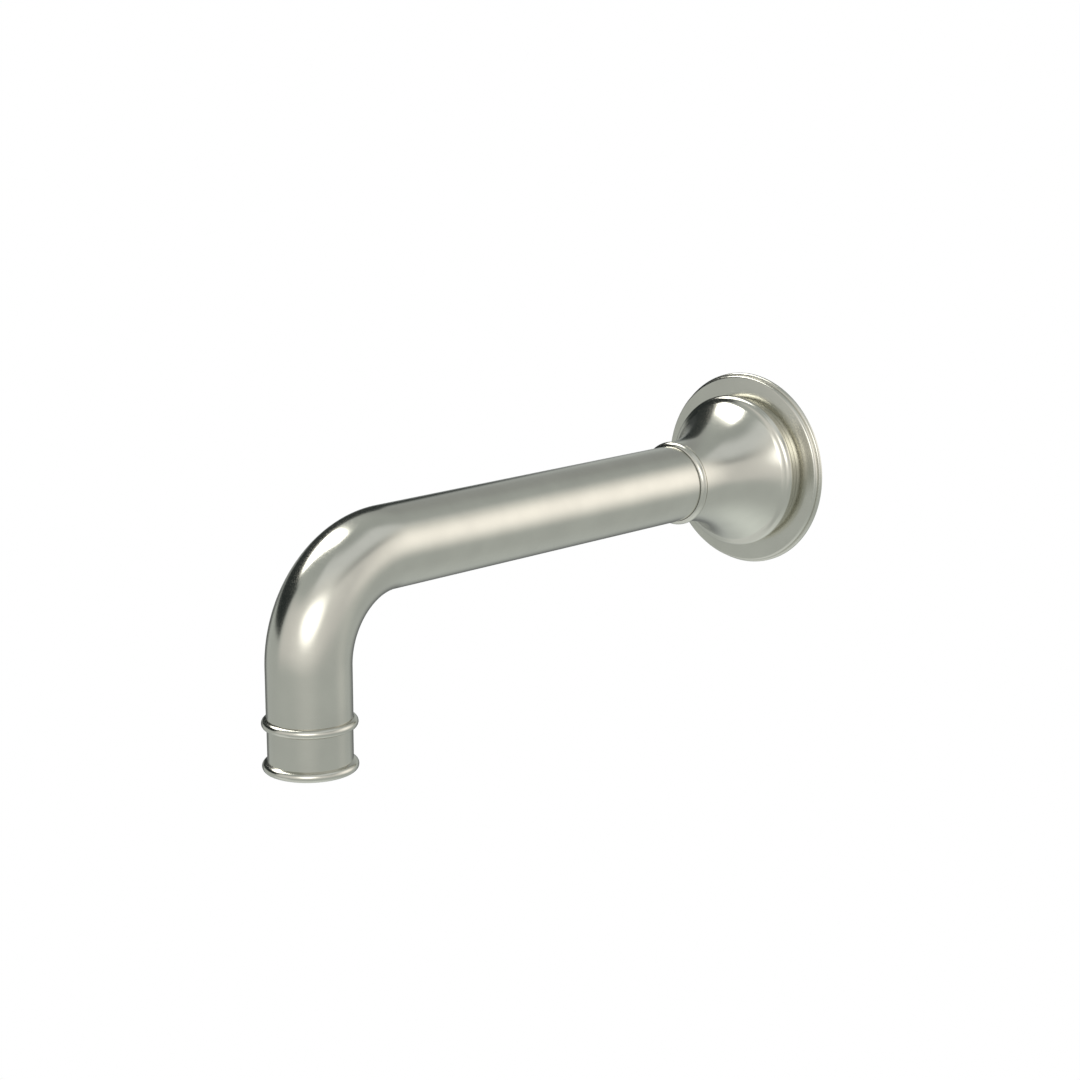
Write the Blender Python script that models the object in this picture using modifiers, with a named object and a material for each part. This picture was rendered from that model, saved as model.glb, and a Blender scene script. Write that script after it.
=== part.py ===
"""Wall mounted bath spout: a bent tube on a slip-on wall connection, with a bell cover and an aerator.

The wall is the plane y = 0 and the spout points along -Y, so a distance w from the wall is y = -w.
The origin is the centre of the wall plate on the wall plane, and the outlet points down. Metres.
"""
import math

import bmesh
import bpy
from mathutils import Matrix, Vector

MM = 0.001

# ---- clearances ----
GAP = 0.3 * MM              # between pieces that touch
SLIDE_CLEARANCE = 0.5 * MM  # between the wall plate's hole and the tube that it slides on

# ---- bent tube ----
PROJECTION = 200.0 * MM     # wall to the outlet's centre line
TUBE_RADIUS = 12.7 * MM     # outside
TUBE_WALL = 1.5 * MM
BEND_RADIUS = 30.4 * MM     # of the tube's centre line
DROP_TO_FERRULE = 45.8 * MM  # centre line of the run to the top of the outlet ferrule
BEND_STEPS = 12

# ---- wall plate and its gasket ----
PLATE_RADIUS = 33.0 * MM    # the wide rim against the wall
PLATE_RIM_THICKNESS = 1.2 * MM
PLATE_STEP = 0.8 * MM       # how far the front drum is smaller than the rim
PLATE_THICKNESS = 3.0 * MM
PLATE_EDGE_ROUND = 0.5 * MM
GASKET_INNER_RADIUS = 16.0 * MM
GASKET_EDGE_LAND = 2.0 * MM  # the rim's metal outside the gasket
GASKET_THICKNESS = 1.0 * MM

# ---- bell cover ----
BELL_FOOT_RADIUS = 24.4 * MM
BELL_FOOT_HEIGHT = 2.4 * MM
SHOULDER_ROUND = 2.0 * MM   # section radius of the rounded shoulder
SHOULDER_RADIUS = 26.0 * MM
BELL_STEP = 1.0 * MM        # the small step between shoulder and flare
BELL_LENGTH = 36.7 * MM     # plate face to the front of the neck bead
FLARE_SAG = 2.4 * MM        # how far the flare bows towards the tube
BELL_WALL = 1.2 * MM
NECK_BEAD_ROUND = 1.6 * MM
NECK_BEAD_HEIGHT = 1.3 * MM  # above the tube
NECK_LAND_LENGTH = 17.5 * MM  # the neck's bore that runs on the tube

# ---- wall nipple ----
THREAD_RADIUS = 10.4775 * MM  # G 1/2
THREAD_LENGTH = 15.0 * MM   # behind the wall plane
COLLAR_ACROSS_FLATS = 22.0 * MM
COLLAR_START = 1.0 * MM
COLLAR_LENGTH = 5.5 * MM
SPIGOT_RADIUS = 8.5 * MM
SPIGOT_END = 34.0 * MM
WATER_BORE_RADIUS = 5.0 * MM
NIPPLE_CHAMFER = 0.8 * MM
FIBRE_WASHER_THICKNESS = 1.6 * MM
FIBRE_WASHER_RADIUS = 12.4 * MM

# ---- rubber rings and their grooves ----
SPIGOT_RING_GROOVE = 1.9 * MM  # depth in the spigot
SPIGOT_RING_WIDTH = 2.4 * MM
SPIGOT_RING_PLACES = (22.5 * MM, 28.5 * MM)
COVER_RING_GROOVE = 1.4 * MM  # depth in the cover's neck bore
COVER_RING_WIDTH = 2.0 * MM
COVER_RING_PLACE = 25.2 * MM

# ---- socket in the tube's wall end ----
SOCKET_FLANGE_THICKNESS = 1.5 * MM
SOCKET_LENGTH = 29.2 * MM
SOCKET_STOP_RADIUS = 7.2 * MM

# ---- lock screw under the cover, M5 ----
LOCK_SCREW_RADIUS = 2.35 * MM
LOCK_SCREW_PLACE = 14.0 * MM
LOCK_SCREW_HEAD_DEPTH = 0.3 * MM  # below the tube's surface
LOCK_SOCKET_ACROSS_FLATS = 2.5 * MM
LOCK_SOCKET_DEPTH = 2.2 * MM
LOCK_GROOVE_DEPTH = 0.9 * MM
LOCK_GROOVE_WIDTH = 6.0 * MM
SCREW_CHAMFER = 0.35 * MM

# ---- outlet ferrule ----
FERRULE_BEAD_ROUND = 1.45 * MM
FERRULE_LENGTH = 16.05 * MM  # top of the upper bead to the outlet's rim
FERRULE_SPIGOT_LENGTH = 9.5 * MM
FERRULE_SEAT_WIDTH = 1.85 * MM  # the shoulder that the washer seals on
AERATOR_SHOULDER = 2.3 * MM  # below the ferrule's top
AERATOR_THREAD_RADIUS = 10.75 * MM
FERRULE_MOUTH_CHAMFER = 0.4 * MM

# ---- aerator ----
AERATOR_RECESS = 0.6 * MM   # its face above the outlet's rim
AERATOR_WASHER_THICKNESS = 1.6 * MM
AERATOR_WASHER_WIDTH = 3.15 * MM
HOUSING_WALL = 1.4 * MM
HOUSING_LIP = 0.8 * MM
HOUSING_LIP_REACH = 0.85 * MM  # how far the lip holds the cartridge in
KEY_NOTCH_WIDTH = 2.4 * MM
KEY_NOTCH_DEPTH = 0.9 * MM
KEY_NOTCHES = 4
INSERT_WALL = 0.8 * MM
STRAIGHTENER_THICKNESS = 2.8 * MM
STRAIGHTENER_CELL = 1.25 * MM
STRAIGHTENER_PITCH = 3.1 * MM
SCREEN_THICKNESS = 0.4 * MM
SCREEN_OPENING = 1.7 * MM
SCREEN_PITCH = 2.5 * MM
JET_PLATE_THICKNESS = 1.3 * MM
JET_RADIUS = 0.55 * MM
JET_EDGE = 2.35 * MM        # the plate's edge to the circle of jets
JET_COUNT = 12
REGULATOR_THICKNESS = 1.9 * MM
REGULATOR_CHANNEL_EDGE = 3.35 * MM  # the disc's edge to the middle of the channel
REGULATOR_CHANNEL_WIDTH = 2.3 * MM
REGULATOR_CHANNEL_DEPTH = 1.1 * MM
REGULATOR_SLOTS = 8
REGULATOR_SLOT_RADIUS = 0.7 * MM
STRAINER_RIM = 0.5 * MM
STRAINER_HEIGHT = 2.4 * MM
STRAINER_SKIN = 0.5 * MM
STRAINER_HOLE_RADIUS = 0.5 * MM
STRAINER_HOLE_CIRCLES = ((0.2516, 6), (0.5157, 12))  # share of the strainer's radius, holes

# ---- facets ----
ROUND_STEPS = 32
INNER_STEPS = 24
RING_SECTION_STEPS = 8

# ---- sizes that follow ----
TUBE_BORE = TUBE_RADIUS - TUBE_WALL
SLEEVE_RADIUS = TUBE_BORE - GAP              # what is brazed into either end of the tube
SOCKET_START = COLLAR_START + COLLAR_LENGTH + GAP
TUBE_START = SOCKET_START + SOCKET_FLANGE_THICKNESS + GAP
SOCKET_BORE = SPIGOT_RADIUS + GAP
NECK_BORE = TUBE_RADIUS + GAP
PLATE_HOLE = TUBE_RADIUS + SLIDE_CLEARANCE
BELL_START = PLATE_THICKNESS + GAP
BELL_END = PLATE_THICKNESS + BELL_LENGTH
FERRULE_TOP = -DROP_TO_FERRULE
FERRULE_BOTTOM = FERRULE_TOP - FERRULE_LENGTH
AERATOR_BORE = AERATOR_THREAD_RADIUS + GAP
FERRULE_WATER_RADIUS = AERATOR_BORE - FERRULE_SEAT_WIDTH
AERATOR_WASHER_HOLE = AERATOR_THREAD_RADIUS - AERATOR_WASHER_WIDTH
WASHER_TOP = FERRULE_TOP - AERATOR_SHOULDER - GAP
HOUSING_TOP = WASHER_TOP - AERATOR_WASHER_THICKNESS - GAP
HOUSING_BOTTOM = FERRULE_BOTTOM + AERATOR_RECESS
HOUSING_BORE = AERATOR_THREAD_RADIUS - HOUSING_WALL
HOUSING_LIP_RADIUS = HOUSING_BORE - HOUSING_LIP_REACH
INSERT_RADIUS = HOUSING_BORE - GAP
CARTRIDGE_BORE = INSERT_RADIUS - INSERT_WALL
CARTRIDGE_RADIUS = CARTRIDGE_BORE - GAP
JET_CIRCLE = CARTRIDGE_RADIUS - JET_EDGE
REGULATOR_CHANNEL_RADIUS = CARTRIDGE_RADIUS - REGULATOR_CHANNEL_EDGE
STRAIGHTENER_BOTTOM = HOUSING_BOTTOM + HOUSING_LIP + GAP
CAGE_BOTTOM = STRAIGHTENER_BOTTOM + STRAIGHTENER_THICKNESS + GAP
LOWER_SCREEN_BOTTOM = CAGE_BOTTOM
UPPER_SCREEN_BOTTOM = LOWER_SCREEN_BOTTOM + SCREEN_THICKNESS + GAP
JET_PLATE_BOTTOM = UPPER_SCREEN_BOTTOM + SCREEN_THICKNESS + GAP
REGULATOR_BOTTOM = JET_PLATE_BOTTOM + JET_PLATE_THICKNESS + GAP
STRAINER_BOTTOM = REGULATOR_BOTTOM + REGULATOR_THICKNESS + GAP

# name: (base colour, metallic, roughness)
FINISHES = {
    "satin_nickel": ((0.60, 0.59, 0.54), 1.0, 0.28),
    "brass": ((0.74, 0.56, 0.28), 1.0, 0.35),
    "steel": ((0.55, 0.55, 0.56), 1.0, 0.35),
    "black_rubber": ((0.03, 0.03, 0.03), 0.0, 0.75),
    "grey_foam": ((0.20, 0.20, 0.20), 0.0, 0.90),
    "red_fibre": ((0.42, 0.09, 0.05), 0.0, 0.80),
    "white_plastic": ((0.80, 0.80, 0.78), 0.0, 0.45),
    "blue_plastic": ((0.12, 0.22, 0.42), 0.0, 0.45),
}


def clear_scene():
    """Remove every object of the start-up scene."""
    for obj in list(bpy.data.objects):
        bpy.data.objects.remove(obj, do_unlink=True)


def add_collection(name):
    """Make a collection under the scene's own."""
    group = bpy.data.collections.new(name)
    bpy.context.scene.collection.children.link(group)
    return group


def add_materials():
    """Make one Principled material for each finish."""
    made = {}
    for name, (colour, metallic, roughness) in FINISHES.items():
        material = bpy.data.materials.new(name)
        material.use_nodes = True
        shader = material.node_tree.nodes["Principled BSDF"]
        shader.inputs["Base Color"].default_value = (*colour, 1.0)
        shader.inputs["Metallic"].default_value = metallic
        shader.inputs["Roughness"].default_value = roughness
        made[name] = material
    return made


def add_axis(name, location, turn):
    """Make an empty whose local Z is the axis that pieces are turned about."""
    empty = bpy.data.objects.new(name, None)
    empty.location = location
    empty.rotation_euler = turn
    empty.empty_display_size = 0.02
    MODEL.objects.link(empty)
    return empty


def add_piece(name, mesh, axis, finish):
    """Make a named piece on an axis with its material."""
    piece = bpy.data.objects.new(name, mesh)
    piece.parent = axis
    MODEL.objects.link(piece)
    mesh.materials.append(MATERIALS[finish])
    return piece


def arc(centre, radius, start, end, count):
    """Points along an arc in a turned outline; angles in degrees, 0 points away from the axis."""
    points = []
    for i in range(count + 1):
        angle = math.radians(start + (end - start) * i / count)
        points.append((centre[0] + radius * math.cos(angle), centre[1] + radius * math.sin(angle)))
    return points


def bowed(start, end, sag, count):
    """Points along an arc from start to end that bows by sag to the left of its way."""
    first, last = Vector(start), Vector(end)
    chord = last - first
    side = Vector((-chord.y, chord.x)).normalized()
    radius = chord.length_squared / (8.0 * sag) + sag / 2.0
    centre = (first + last) / 2.0 + side * (sag - radius)
    half = math.asin(chord.length / (2.0 * radius))
    points = []
    for i in range(count + 1):
        angle = half * (2.0 * i / count - 1.0)
        along = chord.normalized() * math.sin(angle) + side * math.cos(angle)
        points.append(tuple(centre + along * radius))
    return points


def turned(name, outline, axis, finish, steps=INNER_STEPS):
    """Turn an outline of (radius, height) points; its outer side runs from the top down."""
    mesh = bpy.data.meshes.new(name)
    shape = bmesh.new()
    corners = [shape.verts.new((r, 0.0, h)) for r, h in outline]
    for here, there in zip(corners, corners[1:]):
        shape.edges.new((here, there))
    if outline[0][0] > 0.0:
        shape.edges.new((corners[-1], corners[0]))
    shape.to_mesh(mesh)
    shape.free()
    piece = add_piece(name, mesh, axis, finish)
    screw = piece.modifiers.new("turn", "SCREW")
    screw.steps = steps
    screw.render_steps = steps
    screw.use_merge_vertices = True
    screw.merge_threshold = 0.000005
    screw.use_smooth_shade = True
    return piece


def ring_outline(inner, outer, bottom, top):
    """The outline of a plain flat ring."""
    return [(outer, top), (outer, bottom), (inner, bottom), (inner, top)]


def plain_ring(name, inner, outer, bottom, top, axis, finish, steps=INNER_STEPS):
    """A flat ring of rectangular section."""
    return turned(name, ring_outline(inner, outer, bottom, top), axis, finish, steps)


def rubber_ring(name, inner, outer, height, axis):
    """A round-section sealing ring that just clears the radii inner and outer."""
    section = (outer - inner) / 2.0 - GAP
    outline = arc(((inner + outer) / 2.0, height), section, 90.0, -270.0, RING_SECTION_STEPS)
    return turned(name, outline[:-1], axis, "black_rubber")


def disc_outline(radius, bottom, top):
    """The outline of a solid disc."""
    return [(0.0, top), (radius, top), (radius, bottom), (0.0, bottom)]


def add_cutter(name, shape, axis):
    """Make a hidden tool from a bmesh; the bmesh is freed."""
    mesh = bpy.data.meshes.new(name)
    bmesh.ops.recalc_face_normals(shape, faces=shape.faces)
    shape.to_mesh(mesh)
    shape.free()
    cutter = bpy.data.objects.new(name, mesh)
    cutter.parent = axis
    cutter.hide_render = True
    cutter.display_type = "WIRE"
    CUTTERS.objects.link(cutter)
    return cutter


def add_prisms(shape, places, radius, bottom, top, sides, turn=0.0):
    """Add upright prisms or cylinders to a bmesh at each (x, y) place."""
    for x, y in places:
        place = Matrix.Translation((x, y, (bottom + top) / 2.0)) @ Matrix.Rotation(turn, 4, "Z")
        bmesh.ops.create_cone(shape, cap_ends=True, segments=sides, radius1=radius, radius2=radius,
                              depth=top - bottom, matrix=place)


def combine(piece, tool, operation="DIFFERENCE"):
    """Cut a tool out of a piece, or join it on."""
    step = piece.modifiers.new(tool.name, "BOOLEAN")
    step.operation = operation
    step.solver = "EXACT"
    step.object = tool


def circle_places(radius, count, start=0.0):
    """Evenly spaced (x, y) places on a circle."""
    angles = [start + 2.0 * math.pi * i / count for i in range(count)]
    return [(radius * math.cos(a), radius * math.sin(a)) for a in angles]


def drill(piece, places, radius, bottom, top, axis, sides, turn=0.0):
    """Cut upright holes through a piece."""
    shape = bmesh.new()
    add_prisms(shape, places, radius, bottom, top, sides, turn)
    combine(piece, add_cutter(piece.name + "_holes_" + str(len(piece.modifiers)), shape, axis))


def build_wall_plate(axis):
    """The stepped plate against the wall, with a pocket for its gasket at the back."""
    drum = PLATE_RADIUS - PLATE_STEP
    pocket_depth = GASKET_THICKNESS + GAP
    pocket_outer = PLATE_RADIUS - GASKET_EDGE_LAND
    rim_round = PLATE_EDGE_ROUND / 2.0
    outline = arc((drum - PLATE_EDGE_ROUND, PLATE_THICKNESS - PLATE_EDGE_ROUND), PLATE_EDGE_ROUND, 90.0, 0.0, 3)
    outline += [(drum, PLATE_RIM_THICKNESS)]
    outline += arc((PLATE_RADIUS - rim_round, PLATE_RIM_THICKNESS - rim_round), rim_round, 90.0, 0.0, 2)
    outline += [(PLATE_RADIUS, 0.0), (pocket_outer, 0.0), (pocket_outer, pocket_depth)]
    outline += [(GASKET_INNER_RADIUS, pocket_depth), (GASKET_INNER_RADIUS, 0.0)]
    outline += [(PLATE_HOLE, 0.0), (PLATE_HOLE, PLATE_THICKNESS)]
    turned("wall_plate", outline, axis, "satin_nickel", ROUND_STEPS)
    plain_ring("wall_gasket", GASKET_INNER_RADIUS + GAP, pocket_outer - GAP, 0.0, GASKET_THICKNESS,
               axis, "grey_foam", ROUND_STEPS)


def bell_outer_outline():
    """The bell's outside, from the front of the neck bead down to its foot, and where its flare ends."""
    bead_radius = TUBE_RADIUS + NECK_BEAD_HEIGHT - NECK_BEAD_ROUND
    bead = (bead_radius, BELL_END - NECK_BEAD_ROUND)
    front = math.degrees(math.acos((NECK_BORE - bead_radius) / NECK_BEAD_ROUND))
    flare_top = math.radians(-54.0)
    neck = (bead[0] + NECK_BEAD_ROUND * math.cos(flare_top), bead[1] + NECK_BEAD_ROUND * math.sin(flare_top))
    shoulder_centre = (SHOULDER_RADIUS - SHOULDER_ROUND,
                       PLATE_THICKNESS + BELL_FOOT_HEIGHT + SHOULDER_ROUND * math.cos(math.radians(12.0)))
    shoulder = arc(shoulder_centre, SHOULDER_ROUND, 72.0, -78.0, 6)
    flare_foot = (shoulder[0][0] - BELL_STEP, shoulder[0][1] + BELL_STEP / 2.0)
    outline = arc(bead, NECK_BEAD_ROUND, front, math.degrees(flare_top), 5)
    outline += bowed(neck, flare_foot, -FLARE_SAG, 9)[1:]
    outline += shoulder + [(BELL_FOOT_RADIUS, BELL_START)]
    return outline, flare_foot


def bell_inner_outline(flare_foot):
    """The bell's inside, from its foot up through the neck's bore."""
    foot_bore = BELL_FOOT_RADIUS - BELL_WALL
    land_start = BELL_END - NECK_LAND_LENGTH
    groove = NECK_BORE + COVER_RING_GROOVE
    half = COVER_RING_WIDTH / 2.0
    skirt_top = (flare_foot[0] - BELL_WALL, flare_foot[1] - BELL_WALL)
    land_mouth = (NECK_BORE + COVER_RING_GROOVE, land_start - BELL_WALL)
    outline = [(foot_bore, BELL_START), (foot_bore, skirt_top[1] - BELL_WALL)]
    outline += bowed(skirt_top, land_mouth, FLARE_SAG / 2.0, 5)
    outline += [(NECK_BORE, land_start), (NECK_BORE, COVER_RING_PLACE - half)]
    outline += [(groove, COVER_RING_PLACE - half), (groove, COVER_RING_PLACE + half)]
    outline += [(NECK_BORE, COVER_RING_PLACE + half)]
    return outline


def build_bell(axis):
    """The bell cover with its neck bead, and the ring in its neck that grips the tube."""
    outer, flare_foot = bell_outer_outline()
    turned("bell_cover", outer + bell_inner_outline(flare_foot), axis, "satin_nickel", ROUND_STEPS)
    rubber_ring("cover_grip_ring", TUBE_RADIUS, NECK_BORE + COVER_RING_GROOVE, COVER_RING_PLACE, axis)


def groove_points(radius, depth, place, width):
    """Outline points of a square groove in an outer side that runs from the top down."""
    half = width / 2.0
    return [(radius, place + half), (radius - depth, place + half),
            (radius - depth, place - half), (radius, place - half)]


def build_nipple(axis):
    """The threaded nipple in the wall, with its hexagon, its ringed spigot and its washer."""
    outline = [(0.0, SPIGOT_END), (SPIGOT_RADIUS - NIPPLE_CHAMFER, SPIGOT_END)]
    outline += [(SPIGOT_RADIUS, SPIGOT_END - NIPPLE_CHAMFER)]
    for place in reversed(SPIGOT_RING_PLACES):
        outline += groove_points(SPIGOT_RADIUS, SPIGOT_RING_GROOVE, place, SPIGOT_RING_WIDTH)
    outline += groove_points(SPIGOT_RADIUS, LOCK_GROOVE_DEPTH, LOCK_SCREW_PLACE, LOCK_GROOVE_WIDTH)
    collar_middle = COLLAR_START + COLLAR_LENGTH / 2.0
    outline += [(SPIGOT_RADIUS, collar_middle), (THREAD_RADIUS, collar_middle)]
    outline += [(THREAD_RADIUS, NIPPLE_CHAMFER - THREAD_LENGTH)]
    outline += [(THREAD_RADIUS - NIPPLE_CHAMFER, -THREAD_LENGTH), (0.0, -THREAD_LENGTH)]
    nipple = turned("wall_nipple", outline, axis, "brass")
    hexagon = bmesh.new()
    corner_radius = COLLAR_ACROSS_FLATS / 2.0 / math.cos(math.pi / 6.0)
    add_prisms(hexagon, [(0.0, 0.0)], corner_radius, COLLAR_START, COLLAR_START + COLLAR_LENGTH, 6)
    combine(nipple, add_cutter("nipple_hexagon", hexagon, axis), "UNION")
    drill(nipple, [(0.0, 0.0)], WATER_BORE_RADIUS, -2.0 * THREAD_LENGTH, 2.0 * SPIGOT_END, axis, INNER_STEPS)
    washer_top = COLLAR_START - GAP
    plain_ring("fibre_washer", THREAD_RADIUS + GAP, FIBRE_WASHER_RADIUS,
               washer_top - FIBRE_WASHER_THICKNESS, washer_top, axis, "red_fibre")
    for side, place in zip(("rear", "front"), SPIGOT_RING_PLACES):
        rubber_ring("spigot_o_ring_" + side, SPIGOT_RADIUS - SPIGOT_RING_GROOVE, SOCKET_BORE, place, axis)


def build_socket(axis, lock_axis):
    """The turned socket brazed in the tube's wall end, which slips over the nipple's spigot."""
    end = SOCKET_START + SOCKET_LENGTH
    stop = SPIGOT_END + GAP
    outline = [(SLEEVE_RADIUS, end), (SLEEVE_RADIUS, TUBE_START - GAP), (TUBE_RADIUS, TUBE_START - GAP)]
    outline += [(TUBE_RADIUS, SOCKET_START), (SOCKET_BORE, SOCKET_START), (SOCKET_BORE, stop)]
    outline += [(SOCKET_STOP_RADIUS, stop), (SOCKET_STOP_RADIUS, end)]
    socket = turned("inlet_socket", outline, axis, "brass")
    cut_lock_hole(socket, lock_axis)


def cut_lock_hole(piece, lock_axis):
    """Cut the lock screw's hole through one side of a piece on the tube's axis."""
    drill(piece, [(0.0, 0.0)], LOCK_SCREW_RADIUS + GAP, WATER_BORE_RADIUS, 2.0 * TUBE_RADIUS, lock_axis, 16)


def build_lock_screw(lock_axis):
    """The grub screw that locks the tube on the nipple; its local Z points out of the tube."""
    top = TUBE_RADIUS - LOCK_SCREW_HEAD_DEPTH
    tip = SPIGOT_RADIUS - LOCK_GROOVE_DEPTH + GAP
    outline = [(0.0, top), (LOCK_SCREW_RADIUS - SCREW_CHAMFER, top), (LOCK_SCREW_RADIUS, top - SCREW_CHAMFER)]
    outline += [(LOCK_SCREW_RADIUS, tip + 2.0 * SCREW_CHAMFER)]
    outline += [(LOCK_SCREW_RADIUS - 2.0 * SCREW_CHAMFER, tip), (0.0, tip)]
    screw = turned("lock_screw", outline, lock_axis, "steel", 16)
    drive_radius = LOCK_SOCKET_ACROSS_FLATS / 2.0 / math.cos(math.pi / 6.0)
    drill(screw, [(0.0, 0.0)], drive_radius, top - LOCK_SOCKET_DEPTH, top + LOCK_SOCKET_DEPTH, lock_axis, 6)


def tube_path():
    """Points of the tube's centre line, from the socket out to the bend and down to the ferrule."""
    centre = Vector((0.0, BEND_RADIUS - PROJECTION, -BEND_RADIUS))
    points = [Vector((0.0, -TUBE_START, 0.0))]
    for i in range(BEND_STEPS + 1):
        angle = 0.5 * math.pi * i / BEND_STEPS
        points.append(centre + BEND_RADIUS * Vector((0.0, -math.sin(angle), math.cos(angle))))
    points.append(Vector((0.0, -PROJECTION, FERRULE_TOP + GAP)))
    return points


def build_tube(lock_axis):
    """The bent tube, open at both ends, with the lock screw's hole under its wall end."""
    points = tube_path()
    line = bpy.data.curves.new("tube_line", "CURVE")
    line.dimensions = "3D"
    line.bevel_depth = TUBE_RADIUS
    line.bevel_resolution = (ROUND_STEPS - 4) // 2
    spline = line.splines.new("POLY")
    spline.points.add(len(points) - 1)
    for place, point in zip(spline.points, points):
        place.co = (*point, 1.0)
    guide = bpy.data.objects.new("tube_line", line)
    MODEL.objects.link(guide)
    wall = guide.modifiers.new("wall", "SOLIDIFY")
    wall.thickness = TUBE_WALL
    wall.offset = -1.0
    seen = guide.evaluated_get(bpy.context.evaluated_depsgraph_get())
    mesh = bpy.data.meshes.new_from_object(seen)
    mesh.name = "spout_tube"
    mesh.materials.clear()
    tube = add_piece("spout_tube", mesh, None, "satin_nickel")
    tube.matrix_world = guide.matrix_world
    bpy.data.objects.remove(guide, do_unlink=True)
    mesh.shade_smooth()
    cut_lock_hole(tube, lock_axis)


def build_ferrule(axis):
    """The turned outlet end: a spigot in the tube, two beads, and the thread for the aerator."""
    upper = (TUBE_RADIUS, FERRULE_TOP - FERRULE_BEAD_ROUND)
    lower = (TUBE_RADIUS, FERRULE_BOTTOM + FERRULE_BEAD_ROUND)
    spigot_top = FERRULE_TOP + FERRULE_SPIGOT_LENGTH
    shoulder = FERRULE_TOP - AERATOR_SHOULDER
    outline = [(SLEEVE_RADIUS, spigot_top), (SLEEVE_RADIUS, FERRULE_TOP)]
    outline += arc(upper, FERRULE_BEAD_ROUND, 90.0, -90.0, 8)
    outline += arc(lower, FERRULE_BEAD_ROUND, 90.0, -90.0, 8)
    outline += [(AERATOR_BORE + FERRULE_MOUTH_CHAMFER, FERRULE_BOTTOM)]
    outline += [(AERATOR_BORE, FERRULE_BOTTOM + FERRULE_MOUTH_CHAMFER), (AERATOR_BORE, shoulder)]
    outline += [(FERRULE_WATER_RADIUS, shoulder), (FERRULE_WATER_RADIUS, spigot_top)]
    turned("outlet_ferrule", outline, axis, "satin_nickel", ROUND_STEPS)


def build_housing(axis):
    """The aerator's threaded housing, its key notches, and the washer that it presses up."""
    outline = [(AERATOR_THREAD_RADIUS, HOUSING_TOP), (AERATOR_THREAD_RADIUS, HOUSING_BOTTOM)]
    outline += [(HOUSING_LIP_RADIUS, HOUSING_BOTTOM), (HOUSING_LIP_RADIUS, HOUSING_BOTTOM + HOUSING_LIP)]
    outline += [(HOUSING_BORE, HOUSING_BOTTOM + HOUSING_LIP), (HOUSING_BORE, HOUSING_TOP)]
    housing = turned("aerator_housing", outline, axis, "satin_nickel", ROUND_STEPS)
    notches = bmesh.new()
    for i in range(KEY_NOTCHES):
        turn = Matrix.Rotation(2.0 * math.pi * (i + 0.5) / KEY_NOTCHES, 4, "Z")
        place = turn @ Matrix.Translation((AERATOR_THREAD_RADIUS, 0.0, HOUSING_BOTTOM))
        size = Matrix.Diagonal((2.0 * HOUSING_WALL, KEY_NOTCH_WIDTH, 2.0 * KEY_NOTCH_DEPTH, 1.0))
        bmesh.ops.create_cube(notches, size=1.0, matrix=place @ size)
    combine(housing, add_cutter("key_notches", notches, axis))


def hexagon_places(pitch, reach):
    """Places of a hexagonal pattern that stay within reach of the centre."""
    rows = int(reach / pitch) + 1
    places = []
    for row in range(-rows, rows + 1):
        for column in range(-rows, rows + 1):
            x = pitch * (column + row / 2.0)
            y = pitch * row * math.sqrt(3.0) / 2.0
            if math.hypot(x, y) <= reach:
                places.append((x, y))
    return places


def square_places(pitch, reach):
    """Places of a square grid that stay within reach of the centre."""
    rows = int(reach / pitch)
    grid = [(pitch * i, pitch * j) for i in range(-rows, rows + 1) for j in range(-rows, rows + 1)]
    return [(x, y) for x, y in grid if math.hypot(x, y) <= reach]


def build_cartridge(axis):
    """The aerator's inner pieces, from the straightener at the outlet up to the strainer."""
    plain_ring("insert_cage", CARTRIDGE_BORE, INSERT_RADIUS, CAGE_BOTTOM, HOUSING_TOP - GAP,
               axis, "white_plastic")
    top = STRAIGHTENER_BOTTOM + STRAIGHTENER_THICKNESS
    straightener = turned("stream_straightener", disc_outline(INSERT_RADIUS, STRAIGHTENER_BOTTOM, top),
                          axis, "white_plastic")
    cells = hexagon_places(STRAIGHTENER_PITCH, INSERT_RADIUS - 2.0 * STRAIGHTENER_CELL)
    drill(straightener, cells, STRAIGHTENER_CELL, STRAIGHTENER_BOTTOM - GAP, top + GAP, axis, 6)
    for side, bottom in (("lower", LOWER_SCREEN_BOTTOM), ("upper", UPPER_SCREEN_BOTTOM)):
        build_screen("mesh_screen_" + side, bottom, axis)
    plate_top = JET_PLATE_BOTTOM + JET_PLATE_THICKNESS
    plate = turned("jet_plate", disc_outline(CARTRIDGE_RADIUS, JET_PLATE_BOTTOM, plate_top), axis, "white_plastic")
    drill(plate, circle_places(JET_CIRCLE, JET_COUNT), JET_RADIUS, JET_PLATE_BOTTOM - GAP, plate_top + GAP, axis, 8)


def build_screen(name, bottom, axis):
    """A fine screen as a disc with square openings."""
    top = bottom + SCREEN_THICKNESS
    screen = turned(name, disc_outline(CARTRIDGE_RADIUS, bottom, top), axis, "steel")
    openings = square_places(SCREEN_PITCH, CARTRIDGE_RADIUS - SCREEN_OPENING)
    drill(screen, openings, SCREEN_OPENING / math.sqrt(2.0), bottom - GAP, top + GAP, axis, 4, math.pi / 4.0)


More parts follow.
